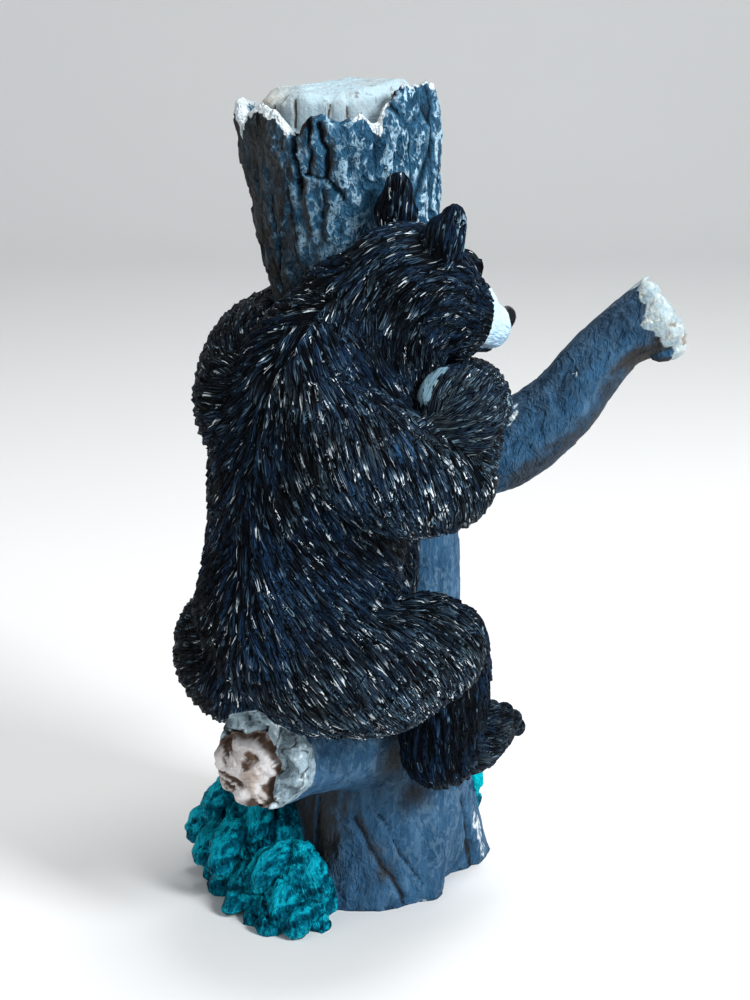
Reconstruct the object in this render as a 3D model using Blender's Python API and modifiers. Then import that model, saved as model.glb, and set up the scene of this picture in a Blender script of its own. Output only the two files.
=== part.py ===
"""A cast and painted figurine: a bear cub sits on a branch stub and hugs a broken tree trunk.

The bear, the trunk with its two branches and the foliage at its foot are one casting, so the
script ends with one closed solid. Metres, +Z up. The origin is on the flat underside, below the
trunk. The bear looks past the trunk between +X and +Y, and the upper branch runs out along +X.

Run it with: blender --background --python part.py
"""

import math

import bmesh
import bpy
import numpy as np
from mathutils import Euler, Matrix, Vector, noise
from mathutils.kdtree import KDTree

# The height, in metres
FIGURE_HEIGHT = 0.240

# The pose, the proportions and the carving below are in 240ths of the height
SHARE = FIGURE_HEIGHT / 240

# Carving: the fur's overlapping locks, the bark's plates and the skin that they are cut into
FUR_LOCK_LENGTH = 18
FUR_LOCK_WIDTH = 7.6
FUR_LOCK_DEPTH = 3.3
BARK_PLATE_WIDTH = 8.5
BARK_PLATE_HEIGHT = 32
BARK_DEPTH = 2.2
SKIN_STEP = 1.15

# Triangles of the finished solid
TRIANGLES = 9700

# Limbs of the bear: rows of (x, y, z, radius) in shares, in the order in which the fur lies
TORSO = (
    (-4, -39, 177, 18.5),
    (-12, -42, 163, 24),
    (-17, -44, 145, 26.5),
    (-18.5, -46, 121, 26),
    (-21, -48, 101, 27),
    (-22.5, -47.5, 97, 26.5),
)
NECK_SIDE = (
    (8, -42, 176, 12.5),
    (2, -46, 164, 13),
    (-1, -54, 152, 14.5),
)
BELLY = (
    (-9, -29, 158, 16),
    (-9, -31, 135, 19.5),
    (-9, -31, 105, 20),
    (-12, -35, 90, 19),
)
HEAD = (
    (30.4, -28, 174.5, 6.6),
    (26.6, -31, 176.6, 9.4),
    (19.6, -35, 181, 12),
    (10.5, -40, 187.5, 16.2),
    (3, -41, 183, 16.5),
    (-5, -41, 173, 18),
)
NEAR_ARM = (
    (-12, -60, 154, 15),
    (-3, -62, 147, 17),
    (8.5, -60, 141, 16),
    (18.5, -53, 137.5, 12.6),
    (20.5, -46, 140, 11.8),
)
NEAR_PAW = (
    (20.5, -47, 140, 11.8),
    (20.5, -43, 146.5, 13),
    (21.5, -36, 152.5, 13.6),
    (25, -26, 152.5, 11.8),
    (23.5, -15, 149, 11),
)
FAR_ARM = (
    (-28, -44, 149, 17),
    (-33, -36, 156, 15.5),
    (-34, -18, 163, 12.5),
    (-30, 6, 165, 11.5),
    (-17, 25, 166, 11),
    (-2, 30, 165, 10.5),
)
NEAR_THIGH = (
    (-15, -57, 89, 20.5),
    (0.5, -58.5, 87.5, 18.3),
    (14.5, -51, 89.5, 14.6),
)
NEAR_SHIN = (
    (20, -40, 88, 10.5),
    (20.3, -37, 74, 11.3),
    (19, -35, 60, 11),
    (18.6, -34.5, 53.5, 10.6),
)
FAR_LEG = (
    (-34, -43, 86.5, 21),
    (-37.5, -20, 82, 17),
    (-35, 2, 75, 14.5),
    (-33, 6, 56, 12.5),
    (-31, 6, 44, 11.5),
    (-29, 7, 36, 11),
)
NEAR_FOOT = (
    (22, -31, 53, 9.5),
    (30, -27.5, 56, 9.6),
    (36, -23.5, 57.3, 6.8),
)
FAR_FOOT = (
    (-29, 7, 35, 10.5),
    (-26, 17, 37, 9),
    (-23, 25, 41, 7.5),
)
LIMBS = (
    TORSO, BELLY, NECK_SIDE, HEAD, NEAR_ARM, NEAR_PAW, FAR_ARM, NEAR_THIGH, NEAR_SHIN, FAR_LEG,
    NEAR_FOOT, FAR_FOOT,
)
SPINE_SIDE = (-0.57, -0.82, 0)

# Ears, nose, raised paw and toes: centre, half sizes and turns about X, Y and Z in degrees
PALM = ((21.4, -59, 159.8), (11.6, 8.3, 10.2), (0, 0, 0))
BROW = ((19, -33, 189), (4.2, 4.2, 3.4), (0, 0, 26))
NOSE = ((36, -25.2, 176), (2.6, 3.6, 3.4), (0, 14, 26))
EARS = (
    ((17.6, -50, 200.8), (3.2, 6.2, 7), (4, 8, 66)),
    ((20, -49.4, 204.2), (2.7, 3.8, 6.2), (4, 8, 66)),
    ((5.4, -31, 205.5), (3.4, 7, 6.6), (0, 4, 70)),
    ((6.2, -31, 210), (2.8, 4.2, 6.2), (0, 4, 70)),
)
TOE_RADIUS = 3.2
NEAR_TOES = ((33.6, -26, 62.8), (37.1, -23.5, 60.4), (39.4, -21, 57.2), (40, -18.5, 53.4))
FAR_TOES = ((-28, 31, 45), (-24.5, 33, 43.5), (-20.5, 33, 42), (-17, 31, 40))

# The trunk: profile of (radius, z) from the top of the core to below the ground, and its axis
TRUNK_PROFILE = (
    (0.01, 236.5),
    (10, 236.5),
    (18.2, 236),
    (20, 234),
    (20.8, 226),
    (23, 225),
    (24.4, 229),
    (26, 231),
    (27.6, 228.5),
    (27.4, 222),
    (25.8, 200),
    (23.6, 170),
    (22.8, 130),
    (23, 100),
    (23.3, 60),
    (25, 40),
    (27, 25),
    (29, 12),
    (30, 0),
    (30, -8),
    (0.01, -8),
)
TRUNK_AXIS = (
    (2.5, 2, 0),
    (3, 0, 40),
    (1.5, 0, 100),
    (0, 0, 130),
    (-2.6, 0, 165),
    (-8, 0, 200),
    (-11, 0, 240),
)
# Height of the broken bark's edge and reach of the roots on the ground, by bearing in degrees
RIM = (
    (0, 236), (28, 231), (55, 227), (84, 230), (118, 226), (150, 229), (166, 232), (184, 232),
    (195, 223), (204, 229), (218, 232), (236, 229), (243, 224), (247, 222.5), (252, 229),
    (262, 231), (272, 228), (284, 231), (294, 227), (300, 233), (312, 238), (338, 238), (360, 236),
)
ROOTS = (
    (0, 29), (20, 35), (45, 33), (70, 29), (100, 35), (130, 30), (160, 33), (190, 35),
    (215, 31), (240, 34), (266, 32), (286, 28), (305, 28), (328, 20), (344, 21), (360, 29),
)
CORE_TILT = 0.10
END_DEPTH = 2.6
BRANCH = (
    (4, 3, 129, 12),
    (21, 1, 129.5, 12.3),
    (37, -1, 133, 12),
    (52, -3, 144.5, 10.8),
    (61, -4, 156.5, 9.8),
    (70, -5, 166.5, 9),
    (81, -6, 173.5, 11.6),
)
STUB = (
    (2, -4, 47, 17),
    (-13, -30, 54, 14.5),
    (-24, -46, 58.3, 14.6),
    (-31.2, -61, 61.2, 13.9),
)

# Foliage clumps: hub, half sizes of the mass under the leaves, first and last bearing, leaves a
# tier, and the tiers' (height, reach, droop)
CLUMPS = (
    ((-32, -2, 8), (15, 18, 18), (135, 262), 4, ((25, 12, 8), (16, 20, 11), (6, 15, 6))),
    ((-23, -25, 2), (12, 12, 12), (178, 300), 5, ((14, 8, 6), (8, 11.5, 7), (3.5, 13, 2))),
    ((12, 28, 4), (14, 12, 15), (10, 165), 4, ((20, 10, 7), (11, 14, 8), (4, 16, 4))),
)
LEAF = (9.2, 5.2, 3.4)


def clear_scene():
    """Removes whatever the scene already holds."""
    for thing in list(bpy.data.objects):
        bpy.data.objects.remove(thing, do_unlink=True)


def collection_named(name):
    """A new collection of the scene."""
    made = bpy.data.collections.new(name)
    bpy.context.scene.collection.children.link(made)
    return made


def smooth_path(stations, steps=8):
    """Points (x, y, z, radius) in metres on a smooth curve through the stations."""
    rows = np.array(stations, dtype=float)
    ends = np.vstack([2 * rows[0] - rows[1], rows, 2 * rows[-1] - rows[-2]])
    t = np.linspace(0, 1, steps, endpoint=False)[:, None]
    spans = []
    for before, start, end, after in zip(ends, ends[1:], ends[2:], ends[3:]):
        bend = 2 * before - 5 * start + 4 * end - after
        twist = 3 * start - before - 3 * end + after
        spans.append(start + 0.5 * t * (end - before + t * (bend + t * twist)))
    return np.vstack(spans + [rows[-1:]]) * SHARE


def tube(stations, half_sides=5):
    """A closed mesh along a limb: a curve with a round bevel whose radius follows the stations."""
    path = smooth_path(stations)
    curve = bpy.data.curves.new("limb", "CURVE")
    curve.dimensions = "3D"
    curve.bevel_depth = 1.0
    curve.bevel_resolution = half_sides
    curve.use_fill_caps = True
    spline = curve.splines.new("POLY")
    spline.points.add(len(path) - 1)
    for point, (x, y, z, radius) in zip(spline.points, path):
        point.co = (x, y, z, 1)
        point.radius = radius
    holder = bpy.data.objects.new("limb", curve)
    bpy.context.scene.collection.objects.link(holder)
    return baked(holder)


def baked(holder):
    """The object's evaluated mesh as one welded closed form; the object itself is removed."""
    bpy.context.view_layer.update()
    evaluated = holder.evaluated_get(bpy.context.evaluated_depsgraph_get())
    mesh = bpy.data.meshes.new_from_object(evaluated)
    bpy.data.objects.remove(holder, do_unlink=True)
    form = bmesh.new()
    form.from_mesh(mesh)
    bpy.data.meshes.remove(mesh)
    bmesh.ops.remove_doubles(form, verts=form.verts, dist=0.00001)
    bmesh.ops.recalc_face_normals(form, faces=form.faces)
    return form


def ball(centre, half_sizes, turn=(0, 0, 0), segments=20):
    """A closed ellipsoid; turn holds its rotations about X, Y and Z in degrees."""
    form = bmesh.new()
    place = (
        Matrix.Translation(Vector(centre) * SHARE)
        @ Euler([math.radians(angle) for angle in turn]).to_matrix().to_4x4()
        @ Matrix.Diagonal((*(Vector(half_sizes) * SHARE), 1))
    )
    bmesh.ops.create_uvsphere(form, u_segments=segments, v_segments=segments // 2, radius=1, matrix=place)
    return form


def table(rows, bearings):
    """Values between the rows of (bearing, value)."""
    known = np.array(rows, dtype=float)
    return np.interp(bearings, known[:, 0], known[:, 1])


def trunk_form():
    """The trunk: a profile turned round, then leaned, rooted and broken off at the top."""
    profile = bpy.data.meshes.new("profile")
    points = [(radius * SHARE, 0, z * SHARE) for radius, z in TRUNK_PROFILE]
    profile.from_pydata(points, [(i, i + 1) for i in range(len(points) - 1)], [])
    holder = bpy.data.objects.new("trunk", profile)
    bpy.context.scene.collection.objects.link(holder)
    turned = holder.modifiers.new("Turned", "SCREW")
    turned.steps = turned.render_steps = 90
    turned.use_merge_vertices = True
    turned.merge_threshold = 0.00005
    form = baked(holder)
    axis = np.array(TRUNK_AXIS, dtype=float)
    for vertex in form.verts:
        x, y, z = vertex.co / SHARE
        radius = math.hypot(x, y)
        bearing = math.degrees(math.atan2(y, x)) % 360
        reach = table(ROOTS, bearing) / 30
        rooted = 1 + (reach - 1) * math.exp(-max(z, 0) / 17) * min(radius / 20, 1)
        broken = max(0, 1 - abs(radius - 26) / 3) * min(max((z - 205) / 18, 0), 1)
        core_top = (radius < 21) * min(max(z - 226, 0) / 8, 1)
        lift = broken * (table(RIM, bearing) - 230) + core_top * CORE_TILT * x
        out = broken * 1.6 * math.exp(-(((bearing - 176) / 14) ** 2))
        scale = rooted * (1 + out / max(radius, 1))
        middle = [np.interp(z, axis[:, 2], axis[:, i]) for i in (0, 1)]
        vertex.co = Vector((x * scale + middle[0], y * scale + middle[1], z + lift)) * SHARE
    return form


def leaf_forms():
    """Every clump as one mass with tiers of thick drooping leaves round it."""
    forms = []
    for hub, mass, (first, last), count, tiers in CLUMPS:
        forms.append(ball(hub, mass))
        for tier, (height, reach, droop) in enumerate(tiers):
            for number in range(count):
                share = (number + 0.5 + 0.3 * (-1) ** tier) / count
                bearing = first + (last - first) * share
                turn = math.radians(bearing)
                swing = 1.6 * math.sin(2.1 * number + tier)
                centre = (
                    hub[0] + (reach + swing) * math.cos(turn),
                    hub[1] + (reach + swing) * math.sin(turn),
                    height + swing,
                )
                tilt = math.degrees(math.atan2(droop, LEAF[0]))
                size = [side * (1 + 0.12 * math.cos(1.7 * number + tier)) for side in LEAF]
                forms.append(ball(centre, size, (swing * 9, tilt, bearing), 14))
    return forms


def figure_forms():
    """Every limb, branch and leaf of the casting as overlapping closed forms."""
    forms = [trunk_form()]
    for limb in LIMBS:
        forms.append(tube(limb))
        for x, y, z, radius in (limb[0], limb[-1]):
            forms.append(ball((x, y, z), (radius, radius, radius)))
    forms += [ball(*feature) for feature in EARS + (NOSE, BROW, PALM)]
    for toe in NEAR_TOES + FAR_TOES:
        forms.append(ball(toe, (TOE_RADIUS, TOE_RADIUS, TOE_RADIUS)))
    forms += [tube(BRANCH), tube(STUB)]
    return forms + leaf_forms()


def fused(forms):
    """One skin round all the closed forms, as a new mesh object."""
    whole = bmesh.new()
    for form in forms:
        part = bpy.data.meshes.new("part")
        form.to_mesh(part)
        form.free()
        whole.from_mesh(part)
        bpy.data.meshes.remove(part)
    mesh = bpy.data.meshes.new("fused")
    whole.to_mesh(mesh)
    whole.free()
    holder = bpy.data.objects.new("fused", mesh)
    bpy.context.scene.collection.objects.link(holder)
    skin = holder.modifiers.new("Skin", "REMESH")
    skin.mode = "VOXEL"
    skin.voxel_size = SKIN_STEP * SHARE
    soften = holder.modifiers.new("Soften", "SMOOTH")
    soften.factor = 0.5
    soften.iterations = 3
    return baked(holder)


def keep_outer_skin(form):
    """Deletes every loose shell but the one that reaches furthest."""
    unseen = set(form.verts)
    shells = []
    while unseen:
        shell = [unseen.pop()]
        for vertex in shell:
            for edge in vertex.link_edges:
                other = edge.other_vert(vertex)
                if other in unseen:
                    unseen.remove(other)
                    shell.append(other)
        shells.append(shell)
    shells.sort(key=len)
    for shell in shells[:-1]:
        bmesh.ops.delete(form, geom=shell, context="VERTS")


def to_limb(points, stations):
    """Distance of each point from a limb's skin, and the limb's direction beside it."""
    path = smooth_path(stations, 5)
    start = path[:-1]
    step = path[1:] - start
    length_squared = (step[:, :3] ** 2).sum(1)
    nearest = np.full(len(points), np.inf)
    along = np.zeros((len(points), 3))
    for i in range(len(start)):
        away = points - start[i, :3]
        t = np.clip(away @ step[i, :3] / length_squared[i], 0, 1)
        gap = np.linalg.norm(away - t[:, None] * step[i, :3], axis=1) - start[i, 3] - t * step[i, 3]
        closer = gap < nearest
        nearest[closer] = gap[closer]
        along[closer] = step[i, :3] / math.sqrt(length_squared[i])
    return nearest, along


def fur_lie(points, normals):
    """Which points are the bear's, and the direction in which the fur lies on each."""
    gaps = []
    flows = []
    for limb in LIMBS:
        gap, along = to_limb(points, limb)
        gaps.append(gap)
        flows.append(along)
    gaps = np.array(gaps)
    flows = np.array(flows)
    sharpness = 3.5 * SHARE
    weights = np.exp(-(gaps - gaps.min(0)) / sharpness)
    flow = (flows * weights[:, :, None]).sum(0)
    spine = np.array(SPINE_SIDE)
    torso_share = (weights[0] / weights.sum(0))[:, None]
    off_spine = normals - (normals @ spine)[:, None] * spine
    flow = flow / np.linalg.norm(flow, axis=1)[:, None] + torso_share * (0.75 * off_spine + (0, 0, -0.3))
    flow -= (flow * normals).sum(1)[:, None] * normals
    flow /= np.linalg.norm(flow, axis=1)[:, None] + 1e-9
    tree_gap = np.minimum(to_limb(points, BRANCH)[0], to_limb(points, STUB)[0])
    axis = np.array(TRUNK_AXIS, dtype=float) * SHARE
    middle = [np.interp(points[:, 2], axis[:, 2], axis[:, i]) for i in (0, 1)]
    from_axis = np.hypot(points[:, 0] - middle[0], points[:, 1] - middle[1])
    tree_gap = np.minimum(tree_gap, from_axis - 24 * SHARE)
    extras = np.array([centre for centre, _, _ in EARS] + list(NEAR_TOES + FAR_TOES)) * SHARE
    bear_gap = gaps.min(0)
    for centre in extras:
        bear_gap = np.minimum(bear_gap, np.linalg.norm(points - centre, axis=1) - 6 * SHARE)
    return (bear_gap < tree_gap) & (bear_gap < 2 * SHARE), flow


def fur_relief(points, normals, flow, furry):
    """Height of the overlapping locks on each point: each swells towards its tip and ends short."""
    tree = KDTree(int(furry.sum()))
    for index in np.flatnonzero(furry):
        tree.insert(points[index], int(index))
    tree.balance()
    order = np.random.default_rng(5).permutation(np.flatnonzero(furry))
    length = FUR_LOCK_LENGTH * SHARE
    half_width = FUR_LOCK_WIDTH * SHARE / 2
    taken = np.zeros(len(points), dtype=bool)
    relief = np.zeros(len(points))
    for seed in order:
        if taken[seed]:
            continue
        near = np.array([row[1] for row in tree.find_range(points[seed], length)])
        away = points[near] - points[seed]
        along = away @ flow[seed] / length
        across = np.abs(away @ np.cross(normals[seed], flow[seed])) / half_width
        same_side = normals[near] @ normals[seed] > 0.3
        taken[near[same_side & (np.abs(along) < 0.65) & (across < 1.7)]] = True
        width = np.sqrt(np.clip(1 - (2 * along - 1) ** 4, 0, 1))
        swell = (0.4 + 0.6 * along) * np.clip(width - across, 0, 1) * same_side
        relief[near] = np.maximum(relief[near], swell)
    return (relief - 0.2) * FUR_LOCK_DEPTH * SHARE


def bark_relief(points):
    """Height of the bark's long plates on each point, falling to nothing in the cracks."""
    relief = np.zeros(len(points))
    plate = np.array((BARK_PLATE_WIDTH, BARK_PLATE_WIDTH, BARK_PLATE_HEIGHT)) * SHARE
    for index, point in enumerate(points):
        sway = 3 * SHARE * math.sin((point[2] / 17 + point[0] / 9) / SHARE)
        near, next_near = noise.voronoi(Vector((point + (sway, -sway, 0)) / plate))[0][:2]
        relief[index] = min(1, (next_near - near) / 0.3)
    return (relief - 0.45) * BARK_DEPTH * SHARE


def broken_end(points, stations, depth):
    """Push along a limb's axis that leaves a ragged ring of bark round a splintered core."""
    path = smooth_path(stations)
    end = path[-1, :3]
    axis = end - path[-3, :3]
    axis /= np.linalg.norm(axis)
    side = np.cross(axis, (0, 0, 1))
    side /= np.linalg.norm(side)
    away = points - end
    beyond = away @ axis
    u = away @ side
    v = away @ np.cross(side, axis)
    reach = np.hypot(u, v) / path[-1, 3]
    bearing = np.arctan2(v, u)
    ring = 0.6 + 0.4 * np.sin(5 * bearing) + 0.3 * np.sin(11 * bearing + 1)
    gap = -np.exp(-(((reach - 0.66) / 0.09) ** 2)) * (0.8 + 0.3 * np.sin(3 * bearing))
    splinters = 0.9 * (1 - reach) + 0.35 * np.sin(u / (1.5 * SHARE)) * np.sin(v / (2.3 * SHARE) + 1)
    height = np.where(reach > 0.74, ring, splinters) + gap
    near_end = (np.abs(beyond) < 2.5 * SHARE) & (reach < 1.02)
    return (near_end * height * depth)[:, None] * axis


def carve(form):
    """Raises the fur and the bark on the fused skin and breaks off the branches' ends."""
    form.verts.ensure_lookup_table()
    form.normal_update()
    points = np.array([vertex.co for vertex in form.verts])
    normals = np.array([vertex.normal for vertex in form.verts])
    furry, flow = fur_lie(points, normals)
    muzzle = np.linalg.norm(points - np.array(HEAD[0][:3]) * SHARE, axis=1)
    bare = np.clip(muzzle / (14 * SHARE), 0, 1) ** 2
    leafy = points[:, 2] < 34 * SHARE
    leafy &= np.hypot(points[:, 0], points[:, 1]) > 35 * SHARE
    raised = np.where(furry, fur_relief(points, normals, flow, furry) * bare, 0)
    level = np.clip(1.6 * np.abs(normals[:, 2]) - 0.5, 0, 0.8) * (points[:, 2] > 222 * SHARE)
    raised = np.where(furry | leafy, raised, bark_relief(points) * (1 - level))
    carved = points + normals * raised[:, None]
    carved += broken_end(points, STUB, END_DEPTH * SHARE) + broken_end(points, BRANCH, END_DEPTH * SHARE)
    for vertex, place in zip(form.verts, carved):
        vertex.co = Vector(place)


def cut_flat(figure, cutters):
    """Takes away everything below the ground."""
    depth = 30 * SHARE
    mesh = bpy.data.meshes.new("ground_cutter")
    block = bmesh.new()
    size = Matrix.Diagonal((300 * SHARE, 300 * SHARE, depth, 1))
    bmesh.ops.create_cube(block, size=1, matrix=Matrix.Translation((0, 0, -depth / 2)) @ size)
    block.to_mesh(mesh)
    block.free()
    cutter = bpy.data.objects.new("ground_cutter", mesh)
    cutter.hide_render = True
    cutter.display_type = "WIRE"
    cutters.objects.link(cutter)
    flat = figure.modifiers.new("Flat underside", "BOOLEAN")
    flat.operation = "DIFFERENCE"
    flat.solver = "EXACT"
    flat.object = cutter


def glazed_paint():
    """The paint's material."""
    paint = bpy.data.materials.new("painted_ceramic")
    paint.use_nodes = True
    shader = paint.node_tree.nodes["Principled BSDF"]
    shader.inputs["Base Color"].default_value = (0.03, 0.04, 0.06, 1)
    shader.inputs["Roughness"].default_value = 0.45
    return paint


def main():
    """Builds the figurine."""
    clear_scene()
    solids = collection_named("bear_figurine")
    cutters = collection_named("cutters")
    form = fused(figure_forms())
    keep_outer_skin(form)
    carve(form)
    bmesh.ops.triangulate(form, faces=form.faces)
    kept = TRIANGLES / len(form.faces)
    mesh = bpy.data.meshes.new("bear_figurine")
    form.to_mesh(mesh)
    form.free()
    mesh.shade_smooth()
    mesh.materials.append(glazed_paint())
    figure = bpy.data.objects.new("bear_figurine", mesh)
    solids.objects.link(figure)
    fewer = figure.modifiers.new("Facets", "DECIMATE")
    fewer.ratio = kept
    cut_flat(figure, cutters)


main()
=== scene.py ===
"""Looks of a painted ceramic figurine: a bear cub on a branch stub hugs a broken tree trunk.

Forms are sized in shares, 240ths of the figurine's height, and the finished mesh is written in
metres. The frame is the CAD's: +Z up, the origin on the flat underside below the trunk, the
upper branch along +X and the bear on the -Y side.
"""

from __future__ import annotations

import logging
import math
from collections.abc import Iterable, Iterator
from dataclasses import dataclass
from enum import Enum

import bpy
import numpy as np
from mathutils import Euler, Matrix, Vector

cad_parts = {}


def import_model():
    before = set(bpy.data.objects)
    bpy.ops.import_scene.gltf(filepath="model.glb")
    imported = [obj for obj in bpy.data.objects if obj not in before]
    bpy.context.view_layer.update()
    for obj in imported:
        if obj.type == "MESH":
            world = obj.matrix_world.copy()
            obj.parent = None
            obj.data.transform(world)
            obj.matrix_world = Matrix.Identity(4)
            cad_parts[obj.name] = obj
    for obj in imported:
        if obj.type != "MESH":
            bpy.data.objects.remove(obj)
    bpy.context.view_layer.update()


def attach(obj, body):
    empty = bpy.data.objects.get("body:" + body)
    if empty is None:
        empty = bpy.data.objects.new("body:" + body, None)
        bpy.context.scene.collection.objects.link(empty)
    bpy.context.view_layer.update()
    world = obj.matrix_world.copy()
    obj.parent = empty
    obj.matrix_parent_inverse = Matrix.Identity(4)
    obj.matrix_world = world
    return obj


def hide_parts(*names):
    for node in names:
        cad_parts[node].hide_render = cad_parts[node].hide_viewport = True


LOG = logging.getLogger("figurine")

Array = np.ndarray
Rows = tuple[tuple[float, ...], ...]
Triple = tuple[float, float, float]
Colour = tuple[float, float, float, float]
Socket = bpy.types.NodeSocket
Value = Socket | float | tuple

FIGURE_HEIGHT = 0.240
SHARE = FIGURE_HEIGHT / 240


class Kind(Enum):
    """What a form of the casting shows."""

    FUR = "fur"
    BARK = "bark"
    LEAF = "leaf"


def unit(vectors: Array) -> Array:
    """Vectors scaled to length one."""
    return vectors / (np.linalg.norm(vectors, axis=-1, keepdims=True) + 1e-9)


def smoothstep(values: Array, low: float, high: float) -> Array:
    """Rise from 0 at low to 1 at high: 3t^2 - 2t^3, where t is the share of the way."""
    t = np.clip((values - low) / (high - low), 0, 1)
    return t * t * (3 - 2 * t)


def bell(away: Array, width: Array | float) -> Array:
    """e^-(away / width)^2, which is 1 where away is 0 and falls off on both sides."""
    return np.exp(-((away / width) ** 2))


def distance(points: Array, place: Triple) -> Array:
    """Distance of each point from a place."""
    return np.linalg.norm(points - np.array(place), axis=1)


def closest(points: Array, places: Iterable[Triple]) -> Array:
    """Distance of each point from the nearest of some places."""
    return np.min([distance(points, place) for place in places], axis=0)


def from_line(points: Array, start: Array, end: Array) -> Array:
    """Distance of each point from the straight line between two places."""
    step = end - start
    share = np.clip((points - start) @ step / (step @ step), 0, 1)
    return np.linalg.norm(points - start - share[:, None] * step, axis=1)


def blobs(points: Array, rows: Rows) -> Array:
    """The highest of bell curves round places, from rows of x, y, z, width and height."""
    return np.max([height * bell(distance(points, place), width) for *place, width, height in rows], axis=0)


def columns(*parts: Array | float) -> Array:
    """The parts side by side along a new last axis, stretched to a common shape."""
    return np.stack(np.broadcast_arrays(*parts), axis=-1)


def hashed(cells: Array, salt: float = 0.0) -> Array:
    """Repeatable numbers from 0 to 1 for rows of whole numbers: the fraction of a large sine."""
    mixed = np.sin(cells @ np.array((127.1, 311.7, 74.7)) + salt) * 43758.5453
    return mixed - np.floor(mixed)


def value_noise(coords: Array, salt: float = 0.0) -> Array:
    """Smooth noise from -1 to 1, with features one unit across.

    Args:
        coords: Points in units of the feature size.
        salt: A number that makes another field.

    Returns:
        Random corner values blended with smooth weights inside each unit cube.
    """
    cell = np.floor(coords)
    share = smoothstep(coords - cell, 0, 1)
    total = np.zeros(len(coords))
    for corner in np.ndindex(2, 2, 2):
        weight = np.prod(np.where(corner, share, 1 - share), axis=1)
        total += weight * hashed(cell + corner, salt)
    return total * 2 - 1


def neighbours(coords: Array, salt: float) -> Iterator[tuple[Array, Array]]:
    """Irregular cells one unit across, whose middles stray at random.

    Args:
        coords: Points in units of the cell size.
        salt: A number that makes other cells.

    Yields:
        For each of the 27 cells round the points, its number and the ways from its middle.
    """
    cell = np.floor(coords)
    for offset in np.ndindex(3, 3, 3):
        other = cell + np.array(offset) - 1
        jitter = columns(*(hashed(other, salt + axis) for axis in (1.0, 2.0, 3.0)))
        yield other, coords - other - jitter


def cracks_between(coords: Array, salt: float = 0.0) -> Array:
    """Distance from the borders between irregular cells.

    Args:
        coords: Points in units of the cell size.
        salt: A number that makes other cells.

    Returns:
        The distance to the second nearest cell's middle less that to the nearest.
    """
    nearest = np.full(len(coords), 9.0)
    second = nearest.copy()
    for _, away in neighbours(coords, salt):
        reach = np.linalg.norm(away, axis=1)
        second = np.minimum(second, np.maximum(nearest, reach))
        nearest = np.minimum(nearest, reach)
    return second - nearest


def tilted_facets(coords: Array, salt: float = 0.0) -> Array:
    """Heights of flat facets, one to an irregular cell, each tilted its own way.

    Args:
        coords: Points in units of the facet size.
        salt: A number that makes other facets.

    Returns:
        The way from the nearest cell's middle, dotted with a random vector of that cell.
    """
    nearest = np.full(len(coords), 9.0)
    height = np.zeros(len(coords))
    for other, away in neighbours(coords, salt):
        tilt = columns(*(hashed(other, salt + axis) for axis in (4.0, 5.0, 6.0))) - 0.5
        reach = np.linalg.norm(away, axis=1)
        closer = reach < nearest
        nearest[closer] = reach[closer]
        height[closer] = (away * tilt).sum(1)[closer]
    return height


def smooth_path(stations: Rows, steps: int = 8) -> Array:
    """Points on a smooth curve through the stations.

    Args:
        stations: Rows of x, y, z and radius.
        steps: Points for each span between two stations.

    Returns:
        Rows of x, y, z and radius on a Catmull-Rom curve.
    """
    rows = np.array(stations, dtype=float)
    ends = np.vstack([2 * rows[0] - rows[1], rows, 2 * rows[-1] - rows[-2]])
    t = np.linspace(0, 1, steps, endpoint=False)[:, None]
    spans = []
    for before, start, end, after in zip(ends, ends[1:], ends[2:], ends[3:]):
        bend = 2 * before - 5 * start + 4 * end - after
        twist = 3 * start - before - 3 * end + after
        spans.append(start + 0.5 * t * (end - before + t * (bend + t * twist)))
    return np.vstack(spans + [rows[-1:]])


@dataclass(frozen=True)
class Patch:
    """A closed surface: its points and the quads between them."""

    points: Array
    faces: Array


def ring_grid(rings: Array) -> Patch:
    """Quads between rings of points.

    Args:
        rings: Points by ring and by side; the sides close on themselves.

    Returns:
        The surface, closed at its ends where the first and last rings are single places.
    """
    count, sides = rings.shape[:2]
    index = np.arange(count * sides).reshape(count, sides)
    beside = np.roll(index, -1, axis=1)
    faces = np.stack([index[:-1], beside[:-1], beside[1:], index[1:]], axis=-1)
    return Patch(rings.reshape(-1, 3), faces.reshape(-1, 4))


@dataclass(frozen=True)
class Near:
    """Where points lie beside a form.

    Attributes:
        gap: Distance outside the form's skin.
        grain: Place along the form and across it, which the carved patterns follow.
        way: Unit direction in which the form runs beside each point.
    """

    gap: Array
    grain: Array
    way: Array


class Form:
    """One closed shape of the casting."""

    name: str
    kind: Kind

    def surface(self) -> Patch:
        """The form's own skin."""
        raise NotImplementedError

    def near(self, points: Array) -> Near:
        """Measures where points lie beside the form.

        Args:
            points: Places to measure.

        Returns:
            Distance outside the skin, place along and round the form, and the way it runs.
        """
        raise NotImplementedError


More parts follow.
